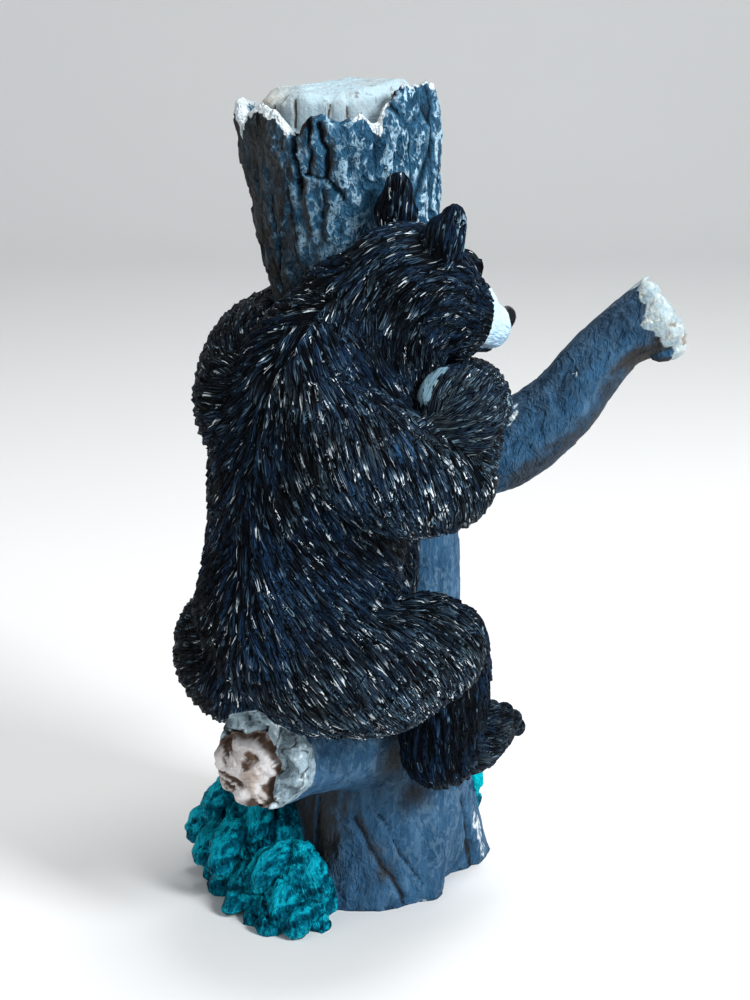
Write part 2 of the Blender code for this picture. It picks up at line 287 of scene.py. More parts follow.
@dataclass(frozen=True)
class Tube(Form):
    """A round limb with domed ends, whose radius changes along a smooth path.

    Attributes:
        blunt: Length of the far end's dome, as a share of its radius.
    """

    name: str
    kind: Kind
    stations: Rows
    blunt: float = 1.0
    sides: int = 32
    dome_rings: int = 6

    def path(self) -> Array:
        """Rows of x, y, z and radius along the limb."""
        return smooth_path(self.stations)

    def frames(self) -> tuple[Array, Array, Array]:
        """Unit tangents, sides and tops of the path.

        Returns:
            Three arrays of vectors; each side is the last one, turned as little as the path allows.
        """
        centre = self.path()[:, :3]
        tangent = unit(np.gradient(centre, axis=0))
        side = np.cross(tangent[0], (0.31, 0.17, 0.93))
        sides = []
        for along in tangent:
            side = unit(side - (side @ along) * along)
            sides.append(side)
        side = np.array(sides)
        return tangent, side, np.cross(tangent, side)

    def surface(self) -> Patch:
        """Skin of the limb.

        Returns:
            Rings of radius r(s) round the path, with domes at both ends: at dome angle q a ring has
            radius r sin q and stands r cos q beyond the end, times the bluntness at the far one.
        """
        path = self.path()
        tangent, side, top = self.frames()
        quarter = np.linspace(0, math.pi / 2, self.dome_rings, endpoint=False)
        last = len(path) - 1
        place = np.clip(np.arange(-len(quarter), last + 1 + len(quarter)), 0, last)
        radius = path[place, 3]
        dome = np.concatenate([np.sin(quarter), np.ones(last + 1), np.sin(quarter[::-1])])
        shift = np.concatenate([-np.cos(quarter), np.zeros(last + 1), self.blunt * np.cos(quarter[::-1])])
        turn = np.linspace(0, 2 * math.pi, self.sides, endpoint=False)[None, :, None]
        spokes = side[place, None] * np.cos(turn) + top[place, None] * np.sin(turn)
        centre = path[place, :3] + (shift * radius)[:, None] * tangent[place]
        return ring_grid(centre[:, None] + (dome * radius)[:, None, None] * spokes)

    def near(self, points: Array) -> Near:
        """Where points lie beside the limb, by the nearest part of its path."""
        path = self.path()
        tangent, side, top = self.frames()
        start = path[:-1]
        step = np.diff(path, axis=0)
        length = np.linalg.norm(step[:, :3], axis=1)
        arc = np.concatenate([[0], np.cumsum(length)])
        gap = np.full(len(points), np.inf)
        index = np.zeros(len(points), dtype=int)
        for i in range(len(start)):
            away = points - start[i, :3]
            t = np.clip(away @ step[i, :3] / length[i] ** 2, 0, 1)
            here = np.linalg.norm(away - t[:, None] * step[i, :3], axis=1) - start[i, 3] - t * step[i, 3]
            closer = here < gap
            gap[closer] = here[closer]
            index[closer] = i
        away = points - start[index, :3]
        run = (away * step[index, :3]).sum(1) / length[index]
        low = np.where(index == 0, -np.inf, 0)
        high = np.where(index == len(start) - 1, np.inf, length[index])
        t = np.clip(run / length[index], 0, 1)[:, None]
        away = away - t * step[index, :3]
        turn = np.arctan2(
            (away * (top[index] * (1 - t) + top[index + 1] * t)).sum(1),
            (away * (side[index] * (1 - t) + side[index + 1] * t)).sum(1),
        )
        radius = path[:, 3].mean()
        along = arc[index] + np.clip(run, low, high)
        grain = columns(along, radius * np.cos(turn), radius * np.sin(turn))
        return Near(gap, grain, unit(tangent[index] * (1 - t) + tangent[index + 1] * t))


@dataclass(frozen=True)
class Lump(Form):
    """An ellipsoid; turn holds its rotations about X, Y and Z in degrees."""

    name: str
    kind: Kind
    centre: Triple
    half_sizes: Triple
    turn: Triple = (0, 0, 0)
    sides: int = 28
    rings: int = 15

    def axes(self) -> Array:
        """Rows are the ellipsoid's own X, Y and Z."""
        return np.array(Euler([math.radians(angle) for angle in self.turn]).to_matrix()).T

    def surface(self) -> Patch:
        """Skin of the ellipsoid: a sphere by polar angle and bearing, stretched and turned."""
        polar = np.linspace(0, math.pi, self.rings)[:, None]
        bearing = np.linspace(0, 2 * math.pi, self.sides, endpoint=False)[None]
        ball = columns(np.sin(polar) * np.cos(bearing), np.sin(polar) * np.sin(bearing), np.cos(polar))
        return ring_grid(ball * self.half_sizes @ self.axes() + self.centre)

    def near(self, points: Array) -> Near:
        """Where points lie beside the ellipsoid, by the ray from its centre; it runs along its Z."""
        own = (points - self.centre) @ self.axes().T
        reach = np.linalg.norm(own / self.half_sizes, axis=1) + 1e-6
        gap = np.linalg.norm(own, axis=1) * (1 - 1 / reach)
        return Near(gap, own[:, [2, 0, 1]], np.tile(self.axes()[2], (len(points), 1)))


class Leaf(Lump):
    """A thick pointed leaf with a ridge along its middle; X runs along it and Z out of it."""

    def surface(self) -> Patch:
        """Skin of the leaf.

        Returns:
            For u from -1 to 1 along the leaf, rings of half width sqrt(1 - |u|^3), waved into
            lobes, with a ridge where the ring's height gains a share of 1 less the distance across.
        """
        length, width, thick = self.half_sizes
        u = np.linspace(-1, 1, 17)[:, None]
        turn = np.linspace(0, 2 * math.pi, 20, endpoint=False)[None]
        swell = np.sqrt(np.maximum(1 - np.abs(u) ** 3, 0)) * (0.88 + 0.12 * np.cos(2.5 * math.pi * u))
        ridge = 0.45 * swell * (1 - np.abs(np.cos(turn))) * (np.sin(turn) > 0)
        out = thick * (swell * np.sin(turn) + ridge) - 1.4 * u * u
        rings = columns(length * u, width * (swell * np.cos(turn)), out)
        return ring_grid(rings @ self.axes() + self.centre)

    def near(self, points: Array) -> Near:
        """Where points lie beside the leaf, taken as an ellipsoid that runs along its X."""
        near = super().near(points)
        return Near(near.gap, near.grain[:, [1, 2, 0]], np.tile(self.axes()[0], (len(points), 1)))


@dataclass(frozen=True)
class Trunk(Form):
    """The broken trunk: a pale core in a ring of bark, leaned and spread into roots.

    Attributes:
        profile: Rows of radius and z, from the top of the core to below the ground.
        axis: Rows of x, y and z of the trunk's middle.
        rim: Rows of bearing in degrees and z of the bark's broken edge.
        roots: Rows of bearing and reach on the ground.
        core_tilt: Rise of the core's top for each step along X.
        rim_paint: Rows of bearing and how much white paint the broken edge has.
    """

    name: str = "trunk"
    kind: Kind = Kind.BARK
    profile: Rows = (
        (0.01, 236.5), (10, 236.5), (18.2, 236), (20, 234), (20.8, 226), (23, 225), (24.4, 229), (26, 231),
        (27.6, 228.5), (27.4, 222), (25.8, 200), (23.6, 170), (22.8, 130), (23, 100), (23.3, 60),
        (25, 40), (27, 25), (29, 12), (30, 0), (30, -4), (0.01, -4),
    )
    axis: Rows = (
        (2.5, 2, 0), (3, 0, 40), (1.5, 0, 100), (0, 0, 130), (-2.6, 0, 165), (-8, 0, 200), (-11, 0, 240),
    )
    rim: Rows = (
        (0, 236), (28, 231), (55, 227), (84, 230), (118, 226), (150, 229), (166, 232), (184, 232),
        (195, 223), (204, 229.5), (218, 232.6), (229, 231.6), (237, 228.6), (243, 223.5),
        (247, 222.5), (252, 229), (262, 231), (272, 228), (284, 231), (294, 227), (300, 233),
        (312, 238), (338, 238), (360, 236),
    )
    roots: Rows = (
        (0, 29), (20, 35), (45, 33), (70, 29), (100, 35), (130, 30), (160, 33), (190, 35),
        (215, 31), (240, 34), (266, 32), (286, 28), (305, 28), (328, 20), (344, 21), (360, 29),
    )
    core_tilt: float = 0.10
    rim_paint: Rows = (
        (0, 0.8), (150, 0.7), (175, 1.2), (239, 1.15), (243, 0.3), (275, 0.35), (282, 0.8), (299, 0.9),
        (303, 0.55), (345, 0.75), (360, 0.8),
    )
    sides: int = 240

    def rim_height(self, bearing: Array) -> Array:
        """Height of the bark's broken edge: the rows, with small teeth between them."""
        rows = np.array(self.rim)
        turn = np.radians(bearing)
        teeth = 0.4 * np.sin(23 * turn + 2 * np.sin(5 * turn)) + 0.25 * np.sin(47 * turn)
        return np.interp(bearing, rows[:, 0], rows[:, 1]) + teeth

    def middle(self, z: Array) -> Array:
        """The trunk's middle at heights z."""
        rows = np.array(self.axis)
        return columns(*(np.interp(z, rows[:, 2], rows[:, axis]) for axis in (0, 1)), 0.0)

    def spread(self, radius: Array, z: Array, bearing: Array) -> Array:
        """Factor by which the roots widen the trunk near the ground."""
        rows = np.array(self.roots)
        reach = np.interp(bearing, rows[:, 0], rows[:, 1]) / 30
        return 1 + (reach - 1) * np.exp(-np.maximum(z, 0) / 17) * np.minimum(radius / 20, 1)

    def surface(self) -> Patch:
        """Skin of the trunk.

        Returns:
            The profile turned round Z; each point is lifted to the broken edge or with the tilted
            core, moved out by the roots, and shifted with the trunk's middle.
        """
        rows = np.array(self.profile)
        fine = np.linspace(0, len(rows) - 1, (len(rows) - 1) * 5 + 1)
        radius = np.interp(fine, np.arange(len(rows)), rows[:, 0])[:, None]
        z = np.interp(fine, np.arange(len(rows)), rows[:, 1])[:, None]
        bearing = np.linspace(0, 360, self.sides, endpoint=False)[None]
        broken = np.maximum(0, 1 - np.abs(radius - 26) / 3) * np.clip((z - 205) / 18, 0, 1)
        core_top = (radius < 21) * np.clip((z - 226) / 8, 0, 1)
        turn = np.radians(bearing)
        lift = broken * (self.rim_height(bearing) - 230)
        lift = lift + core_top * self.core_tilt * radius * np.cos(turn)
        out = broken * 1.6 * bell(bearing - 176, 14)
        scale = self.spread(radius, z, bearing) * (1 + out / np.maximum(radius, 1))
        rings = columns(radius * scale * np.cos(turn), radius * scale * np.sin(turn), z + lift)
        return ring_grid(rings + self.middle(z + 0 * bearing))

    def near(self, points: Array) -> Near:
        """Where points lie beside the outer bark, which runs upward."""
        reach, bearing = self.polar(points)
        rows = np.array([row for row in self.profile if row[0] > 22.7 and row[1] < 229])[::-1]
        radius = np.interp(points[:, 2], rows[:, 1], rows[:, 0])
        radius = radius * self.spread(radius, points[:, 2], bearing)
        turn = np.radians(bearing)
        grain = columns(points[:, 2], 25 * np.cos(turn), 25 * np.sin(turn))
        return Near(reach - radius, grain, np.tile((0.0, 0.0, 1.0), (len(points), 1)))

    def polar(self, points: Array) -> tuple[Array, Array]:
        """Distance from the trunk's middle and bearing in degrees."""
        away = points - self.middle(points[:, 2])
        return np.hypot(away[:, 0], away[:, 1]), np.degrees(np.arctan2(away[:, 1], away[:, 0])) % 360


def fur(name: str, *stations: tuple[float, ...]) -> Tube:
    """A limb of the bear."""
    return Tube(name, Kind.FUR, stations)


@dataclass(frozen=True)
class Cub:
    """The bear: limbs whose stations follow the lie of the fur, with ears, toes and a face.

    Attributes:
        spine: Direction in which the spine faces, from which the fur fans out.
        wrist: Place from which the raised paw's fur fans out.
        shoulder: Place round which the far shoulder's fur lies out over the arm.
        fan: Strength of the fan beside the parting on the spine.
        side_fan: What it gains towards the belly.
        fringe: How strongly the fur of the near upper arm hangs down.
        leg_fringe: The same for the near thigh.
        blend: Distance over which one limb's lie passes into the next one's.
        greys: How much grey is laid over the fur of each limb with a dry brush, in the limbs' order.
    """

    spine: Triple = (-0.57, -0.82, 0)
    wrist: Triple = (17, -60, 155)
    shoulder: Triple = (-33, -46, 150)
    fan: float = 0.6
    side_fan: float = 2.0
    fringe: float = 2.0
    leg_fringe: float = 1.5
    blend: float = 3.5
    torso: Tube = fur(
        "torso", (-4, -39, 177, 18.5), (-12, -42, 163, 24), (-17, -44, 145, 26.5),
        (-18.5, -46, 121, 26), (-21, -48, 101, 27), (-22.5, -47.5, 97, 26.5),
    )
    belly: Tube = fur(
        "belly", (-9, -29, 158, 16), (-9, -31, 135, 19.5), (-9, -31, 105, 20), (-12, -35, 90, 19),
    )
    neck: Tube = fur("neck", (8, -42, 176, 12.5), (2, -46, 164, 13), (-1, -54, 152, 14.5))
    head: Tube = fur(
        "head", (30.4, -28, 174.5, 6.6), (26.4, -30.8, 176.4, 9.2), (19.4, -35, 180.8, 11.6),
        (10.3, -40, 187.3, 16), (3, -41, 183, 16.5), (-5, -41, 173, 18),
    )
    palm: Lump = Lump("palm", Kind.FUR, (21.4, -58.2, 157), (11.2, 8.2, 12.2))
    brow: Lump = Lump("brow_ridge", Kind.FUR, (23.3, -34.6, 191.3), (4.9, 4.2, 4.2), (0, 0, 26))
    near_arm: Tube = fur(
        "near_arm", (-12, -60, 154, 15), (-3, -62, 147, 17), (8.5, -60, 141, 16),
        (18.5, -53, 137.5, 12.6), (20.5, -46, 140, 11.8),
    )
    near_paw: Tube = fur(
        "near_paw", (20.5, -47, 140, 11.8), (20.5, -43, 146.5, 13), (21.5, -36, 152.5, 13.6),
        (25, -26, 152.5, 11.8), (23.5, -15, 149, 11),
    )
    far_arm: Tube = fur(
        "far_arm", (-28, -44, 149, 17), (-33, -36, 156, 15.5), (-34, -18, 163, 12.5),
        (-30, 6, 165, 11.5), (-17, 25, 166, 11), (-2, 30, 165, 10.5),
    )
    near_thigh: Tube = fur(
        "near_thigh", (-15, -57, 89, 20.5), (0.5, -58.5, 87.5, 18.3), (14.5, -51, 89.5, 14.6),
    )
    near_shin: Tube = fur(
        "near_shin", (20, -40, 88, 10.5), (20.3, -37, 74, 11.3), (19, -35, 60, 11), (18.6, -34.5, 53.5, 10.6),
    )
    far_leg: Tube = fur(
        "far_leg", (-34, -43, 86.5, 21), (-37.5, -20, 82, 17), (-35, 2, 75, 14.5),
        (-33, 6, 56, 12.5), (-31, 6, 44, 11.5), (-29, 7, 36, 11),
    )
    near_foot: Tube = fur("near_foot", (22, -31, 53, 9.5), (29.3, -27.6, 55.6, 9.3), (35, -24, 56.6, 6.2))
    far_foot: Tube = fur("far_foot", (-29, 7, 35, 10.5), (-26, 17, 37, 9), (-23, 25, 41, 7.5))
    toe_radius: float = 2.9
    near_toes: Rows = ((33.4, -27.2, 62.6), (37.2, -24.8, 60.8), (39.8, -22, 57.6), (41, -19.4, 54))
    far_toes: Rows = ((-28, 31, 45), (-24.5, 33, 43.5), (-20.5, 33, 42), (-17, 31, 40))
    far_fingers: Rows = ((5, 29.5, 170.5), (7.2, 29, 166.3), (6.8, 29, 161.8), (4, 29.5, 158))
    greys: tuple[float, ...] = (0.0, 0.25, 0.1, 0.25, 0.5, 0.9, 0.3, 0.9, -0.6, 0.2, 2.2, 0.3)

    def limbs(self) -> list[Tube]:
        """The round limbs, torso first."""
        return [
            self.torso, self.belly, self.neck, self.head, self.near_arm, self.near_paw,
            self.far_arm, self.near_thigh, self.near_shin, self.far_leg, self.near_foot, self.far_foot,
        ]

    def ears(self) -> list[Lump]:
        """Both ears, each a broad base and a narrower top, the near ear first."""
        return [
            Lump("near_ear", Kind.FUR, (17.6, -50, 200.8), (3.0, 6.1, 7), (4, 8, 66)),
            Lump("near_ear_top", Kind.FUR, (20, -49.4, 204.4), (2.4, 3.7, 6.2), (4, 8, 66)),
            Lump("far_ear", Kind.FUR, (5.6, -31, 205.5), (3.2, 5.9, 6.6), (0, 4, 70)),
            Lump("far_ear_top", Kind.FUR, (6.2, -31, 210.2), (2.5, 4.0, 6.2), (0, 4, 70)),
        ]

    def face(self) -> Face:
        """The face's frame and features."""
        return Face()

    def forms(self) -> list[Form]:
        """Every form of the bear."""
        size = (self.toe_radius,) * 3
        toes = self.near_toes + self.far_toes + self.far_fingers
        return (
            self.limbs()
            + self.ears()
            + [self.palm, self.brow]
            + [Lump("toe", Kind.FUR, toe, size) for toe in toes]
            + self.face().lumps()
        )

    def beside(self, points: Array) -> tuple[list[Near], Array]:
        """Each limb's place beside the points.

        Args:
            points: Places on the skin.

        Returns:
            The limbs' places and their shares of each point, which fall off with distance and add
            up to 1.
        """
        nears = [limb.near(points) for limb in self.limbs()]
        gaps = np.array([near.gap for near in nears])
        weights = np.exp(-(gaps - gaps.min(0)) / self.blend)
        return nears, weights / weights.sum(0)

    def lie(self, points: Array, normals: Array) -> Array:
        """Direction in which the fur lies.

        Args:
            points: Places on the skin.
            normals: Their outward directions.

        Returns:
            Unit tangents: the limbs' directions blended by nearness; over the torso fanned away
            from the spine and downwards, over the raised paw fanned out from its wrist, over the
            far shoulder led out to the arm, and along the ears.
        """
        nears, weights = self.beside(points)
        flow = sum(near.way * weight[:, None] for near, weight in zip(nears, weights))
        flow = unit(flow)
        spine = np.array(self.spine)
        torso = weights[0][:, None]
        facing = (normals @ spine)[:, None]
        round_body = facing * normals - spine
        round_body = round_body / np.sqrt((round_body**2).sum(1)[:, None] + 0.02)
        fan = self.fan + self.side_fan * (1 - np.clip(facing, 0, 1))
        flow = flow + torso * (fan * round_body + (0, 0, -0.3))
        for limb, pull in (self.near_arm, self.fringe), (self.near_thigh, self.leg_fringe):
            flow = flow + pull * weights[self.limbs().index(limb)][:, None] * (0, 0, -1)
        shoulder = bell(distance(points, self.shoulder), 17)[:, None]
        flow = flow * (1 - shoulder) + shoulder * np.array((-0.75, 0.35, -0.55))
        paw = weights[self.limbs().index(self.near_paw)]
        paw = smoothstep(paw, 0.3, 0.7) * smoothstep(points[:, 2], 140, 148)
        paw = np.maximum(paw, smoothstep(-self.palm.near(points).gap, -2.5, -0.8))[:, None]
        flow = flow * (1 - paw) + paw * unit(points - self.wrist)
        for ear in self.ears():
            near = smoothstep(-ear.near(points).gap, -1.6, -0.2)[:, None]
            flow = flow * (1 - near) + near * (ear.axes()[2] + 0.25 * unit(points - ear.centre))
        flow -= (flow * normals).sum(1)[:, None] * normals
        return unit(flow)


@dataclass(frozen=True)
class Face:
    """The head's frame, from the muzzle's tip, and what is carved on the face.

    Attributes:
        tip: Middle of the muzzle's rounded end.
        ahead: The way the bear looks.
        up: The way up on the head.
    """

    tip: Triple = (30.4, -28, 174.5)
    ahead: Triple = (0.875, 0.42, -0.24)
    up: Triple = (0.216, 0.104, 0.971)
    nose_half: Triple = (2.4, 3.6, 3.5)
    eye_radius: float = 2.1

    def axes(self) -> Array:
        """Rows are ahead, to the bear's right, and up."""
        ahead = unit(np.array(self.ahead))
        right = unit(np.cross(ahead, self.up))
        return np.array([ahead, right, np.cross(right, ahead)])

    def own(self, points: Array) -> Array:
        """Points in the face's frame."""
        return (points - self.tip) @ self.axes().T

    def place(self, ahead: float, right: float, up: float) -> Triple:
        """A place in the figurine's frame from one in the face's."""
        x, y, z = np.array(self.tip) + np.array((ahead, right, up)) @ self.axes()
        return (float(x), float(y), float(z))

    def turned(self) -> Triple:
        """The face's turns about X, Y and Z in degrees."""
        return tuple(math.degrees(angle) for angle in Matrix(self.axes().T.tolist()).to_euler())

    def eyes(self) -> list[Triple]:
        """Middles of the eyes, the right one first."""
        return [self.place(-7.2, side * 5.4, 8.6) for side in (1, -1)]

    def nose(self) -> Triple:
        """Middle of the nose."""
        return self.place(5.6, 0, 2.9)

    def lumps(self) -> list[Lump]:
        """Nose, brows, cheeks and chin."""
        turn = self.turned()
        made = [
            Lump("nose", Kind.FUR, self.nose(), self.nose_half, turn),
            Lump("chin", Kind.FUR, self.place(-5.5, 0, -5.6), (5.5, 4.4, 2.6), turn),
        ]
        for side in (1, -1):
            made.append(Lump("brow", Kind.FUR, self.place(-10.2, side * 5, 10.6), (3.4, 2.8, 1.9), turn))
            made.append(Lump("cheek", Kind.FUR, self.place(-13.5, side * 8.6, -3), (6.6, 5.3, 6.3), turn))
            made.append(Lump("jowl", Kind.FUR, self.place(-1.5, side * 2.8, -2.0), (5.6, 3.6, 5.2), turn))
        return made


@dataclass(frozen=True)
class Wood:
    """The trunk with its two branches, and the cracks in its bark.

    Attributes:
        cracks: Rows of (bearing, z) stations with a half width and a depth, one crack an entry.
        unrolled: Radius at which the bark is unrolled to place the cracks.
        recesses: Hollows given brown painted shade, as rows of a centre, a radius and a strength.
        plate: Width, width and height of a bark plate.
        plate_depth: Depth of the cracks between plates.
        chip: Width, width and height of the chisel marks on the plates.
        chip_depth: Their depth.
        splits: Bearings of the lines down the pale core.
    """

    trunk: Trunk = Trunk()
    branch: Tube = Tube(
        "branch", Kind.BARK,
        ((4, 3, 129, 12), (21, 1, 129.5, 12.3), (37, -1, 133, 12), (52, -3, 144.5, 10.8),
         (61, -4, 156.5, 9.8), (70, -5, 166.5, 9), (81, -6, 173.5, 11.6)),
        blunt=0.1,
    )
    stub: Tube = Tube(
        "stub", Kind.BARK,
        ((2, -4, 47, 17), (-13, -30, 54, 14.5), (-24, -46, 58.3, 14.6), (-31.2, -61, 61.2, 13.9)),
        blunt=0.1,
    )
    lip: Lump = Lump("lip", Kind.BARK, (82.4, -10.8, 163.2), (5.0, 2.4, 1.9), (0, -18, -8))
    cracks: tuple = (
        (((243.6, 226), (244.4, 217.4), (244.8, 209)), 0.7, 2.4),
        (((253.3, 230), (254.8, 221.7), (251.5, 215)), 0.5, 1.5),
        (((259.5, 229), (263.5, 221.8), (261.5, 215)), 0.75, 1.8),
        (((248.9, 214.8), (262.5, 214.5), (266.1, 212.4), (271.3, 208.8)), 0.4, 1.3),
        (((301.0, 225), (301.9, 218.6), (302.0, 213.5)), 0.35, 1.2),
        (((222.0, 208), (220.9, 195.9), (214.0, 180.4)), 0.45, 1.3),
        (((196.4, 224), (189.4, 205), (192.0, 190)), 0.8, 1.6),
        (((258.8, 211), (258.0, 203)), 0.4, 1.0),
        (((221.9, 30), (224.6, 19.5), (231.3, 13.0)), 0.8, 1.8),
        (((251.3, 28), (262.7, 18.5), (273.4, 10.9), (283.0, 1.0)), 0.9, 1.1),
        (((267.0, 29.1), (279.5, 18.1), (294.4, 5.7)), 0.35, 1.2),
        (((340.0, 27), (345.0, 18.2), (353.6, 6.4), (359.0, 0)), 1.0, 1.5),
    )
    unrolled: float = 26
    recesses: Rows = ((6, -27, 47, 9, 1), (12, -24, 35, 5, 1), (0, -28, 19, 2.5, 1), (3, -28.5, 12, 2.5, 1))
    plate: Triple = (8.5, 8.5, 32)
    plate_depth: float = 1.1
    chip: Triple = (3.6, 3.6, 6.5)
    chip_depth: float = 1.7
    splits: tuple[float, ...] = (214, 237, 266, 280, 322)

    def forms(self) -> list[Form]:
        """The trunk, the branch, the stub, and a splinter below the branch's end."""
        return [self.trunk, self.branch, self.stub, self.lip]

    def crack_depth(self, points: Array) -> Array:
        """Depth of the named cracks.

        Args:
            points: Places on the trunk.

        Returns:
            For each crack its depth times a bell curve of the distance from its line, measured on
            the unrolled bark; the deepest one counts.
        """
        _, bearing = self.trunk.polar(points)
        flat = columns(np.radians(bearing) * self.unrolled, points[:, 2])
        flat += 0.8 * columns(value_noise(points / 3.4, 3), value_noise(points / 3.4, 4))
        wider = 1 + 0.5 * value_noise(points / 4, 17)
        deepest = np.zeros(len(points))
        for stations, half_width, depth in self.cracks:
            line = np.array([(math.radians(turn) * self.unrolled, z) for turn, z in stations])
            for start, end in zip(line, line[1:]):
                away = from_line(flat, start, end)
                deepest = np.maximum(deepest, depth * bell(away / half_width, wider))
        return deepest

    def rough(self, points: Array, trunk: Array) -> Array:
        """How rugged the bark is: 1 on the upper trunk, little below the bear and on the branches."""
        return np.maximum(trunk * (0.22 + 0.78 * smoothstep(points[:, 2], 118, 150)), 0.15)

    def relief(self, points: Array, grain: Array, trunk: Array) -> tuple[Array, Array]:
        """Height of the bark.

        Args:
            points: Places on the skin.
            grain: Their places along and round the nearest form.
            trunk: 1 on the trunk, less on the branches.

        Returns:
            Height over the skin, and a share from 0 in the cracks to 1 on the plates.
        """
        rough = self.rough(points, trunk)
        sway = 3 * np.sin(grain[:, 0] / 17 + grain[:, 1] / 9)
        coords = columns(grain[:, 1] + sway, grain[:, 2] - sway, grain[:, 0]) / self.plate
        open_here = smoothstep(value_noise(points / (12, 12, 26), 13), -0.35, 0.35)
        plates = 1 - (1 - np.minimum(cracks_between(coords) / 0.22, 1)) * (0.25 + 0.75 * open_here)
        chips = tilted_facets((points + sway[:, None] * 0.3) / self.chip, 8)
        flutes = value_noise(coords * (1.5, 1.5, 0.9), 18)
        lumps = value_noise(points / (3.4, 3.4, 6), 5) + 0.5 * value_noise(points / 1.7, 6)
        crack = self.crack_depth(points) * (trunk > 0.5)
        height = (plates - 0.6) * self.plate_depth * rough - crack + 0.8 * flutes * (1 - rough)
        height += chips * self.chip_depth * (0.15 + 0.85 * rough) + (0.15 + 0.2 * rough) * lumps
        level = 0.85 - 0.8 * (1 - plates) * rough - crack / 1.4
        return height, np.clip(level + 0.25 * chips * rough + 0.1 * lumps, 0, 1)

    def core_relief(self, points: Array) -> tuple[Array, Array]:
        """Relief of the pale core's sides.

        Args:
            points: Places on the core.

        Returns:
            Height, as facets less bell-shaped splits, and a share from 0 in the splits to 1.
        """
        _, bearing = self.trunk.polar(points)
        swayed = bearing + 2.5 * value_noise(points / 5, 15)
        away = np.min([np.abs(swayed - turn) for turn in self.splits], axis=0) * math.radians(20)
        split = bell(away, 0.55)
        facets = np.minimum(cracks_between(columns(bearing / 14, points[:, 2] / 11, 0.0), 5), 0.6)
        rugged = 0.2 * value_noise(points / 2.2, 12) + 0.5 * value_noise(points / (5, 5, 8), 19)
        return 1.1 * facets - 0.9 * split + rugged, 1 - split

    def ends(self) -> list[BrokenEnd]:
        """The broken ends of the branch and the stub."""
        return [
            BrokenEnd(self.branch, heart=(-0.5, -0.5), heart_radius=9.8, slant=1.1, cuff=3.8, cream=1.0),
            BrokenEnd(self.stub, heart=(3.9, -3.4), heart_radius=9.8, slant=0.65, cuff=4.6),
        ]


@dataclass(frozen=True)
class EndMarks:
    """Carving and paint of a broken end, from 0 to 1 where not said otherwise.

    Attributes:
        push: Move of each point.
        shown: Where the broken end and its pale cuff show.
        level: From the cracks and valleys to the crests.
        ring: Where it is the ring of bark round the splinters.
        cream: Where it is cream all over.
    """

    push: Array
    shown: Array
    level: Array
    ring: Array
    cream: Array


@dataclass(frozen=True)
class BrokenEnd:
    """The ragged end of a branch: ridged splinters inside a pale ring of bark.

    Attributes:
        limb: The branch; its last station is the end.
        heart: Middle of the splinters, across and up the end from the branch's own middle.
        heart_radius: Their radius.
        slant: Angle of their ridges from the level, in radians.
        pitch: Distance from ridge to ridge.
        depth: Height of the carving.
        cuff: Length of pale bark behind the end.
        cream: 1 where the whole end is cream, 0 where its middle is brown wood.
    """

    limb: Tube
    heart: tuple[float, float]
    heart_radius: float
    slant: float
    cuff: float
    pitch: float = 3.3
    depth: float = 2.6
    cream: float = 0.0

    def carve(self, points: Array) -> EndMarks:
        """Works out the end's carving.

        Args:
            points: Places on the skin.

        Returns:
            Splinters as a dome with crests where two noises, long along the slant, pass through 0;
            a sunk line round them; and a ring of tilted facets with cracks between large cells.
        """
        path = self.limb.path()
        end, radius = path[-1, :3], path[-1, 3]
        axis = unit(end - path[-3, :3])
        side = unit(np.cross(axis, (0, 0, 1)))
        away = points - end
        beyond, across, up = (away @ way for way in (axis, side, np.cross(side, axis)))
        u, v = across - self.heart[0], up - self.heart[1]
        bearing = np.arctan2(v, u)
        lobes = 1 + 0.10 * np.sin(3 * bearing + 1) + 0.06 * np.sin(7 * bearing)
        inner = np.hypot(u, v) / (self.heart_radius * lobes)
        warp = 0.9 * value_noise(columns(u / 6, v / 6, 0.0), 7)
        grit = value_noise(columns(u, v, 0.5 * beyond) / 2, 8)
        run = v * math.cos(self.slant) - u * math.sin(self.slant)
        along = u * math.cos(self.slant) + v * math.sin(self.slant)
        crests = [
            1 - 1.3 * np.abs(value_noise(columns(run / wide + warp, along / (3 * wide), beyond / 9), salt))
            for wide, salt in ((self.pitch, 9), (0.42 * self.pitch, 10))
        ]
        ridges = np.clip(0.72 * crests[0] + 0.28 * crests[1], 0, 1)
        dome = np.sqrt(np.clip(1 - inner**2, 0, 1)) * (1 - 0.6 * self.cream)
        wide_gap = 0.08 + 0.10 * smoothstep(u + v, 0, 9)
        border = 1.07
        gap = bell(inner - border, wide_gap) * (1 - self.cream)
        cells = columns(across, up, beyond) / 6.5
        plates = np.minimum(cracks_between(cells, 31) / 0.2, 1)
        ring_height = 1.2 * tilted_facets(cells * 1.7, 32) + 0.35 * plates + 0.15 * grit
        splinters = dome + 1.5 * (ridges - 0.6) + 0.2 * grit
        height = np.where(inner < border, splinters, ring_height) - 0.6 * gap
        near_end = (np.abs(beyond) < 2.6) & (np.hypot(across, up) < 1.04 * radius)
        ragged = 1.6 * np.sin(4 * bearing + 1) + 1.1 * np.sin(9 * bearing) + 0.8 * grit
        shown = smoothstep(beyond + ragged, -self.cuff - 0.8, -self.cuff + 0.4)
        shown = shown * (np.hypot(across, up) < 1.4 * radius) * (beyond < 9)
        ring = shown * np.maximum(smoothstep(inner, 1.1, 1.17), smoothstep(-beyond, 2.6, 3.4))
        carved = smoothstep(ridges, 0.25, 0.75) + 0.15 * grit - 0.45 * smoothstep(0.4 * u - v, 1, 9)
        level = np.where(ring > 0.5, 0.25 + 0.75 * plates, carved) * (1 - 0.8 * gap)
        push = (near_end * height * self.depth)[:, None] * axis
        return EndMarks(push, shown, np.clip(level, 0, 1), ring, self.cream * shown)


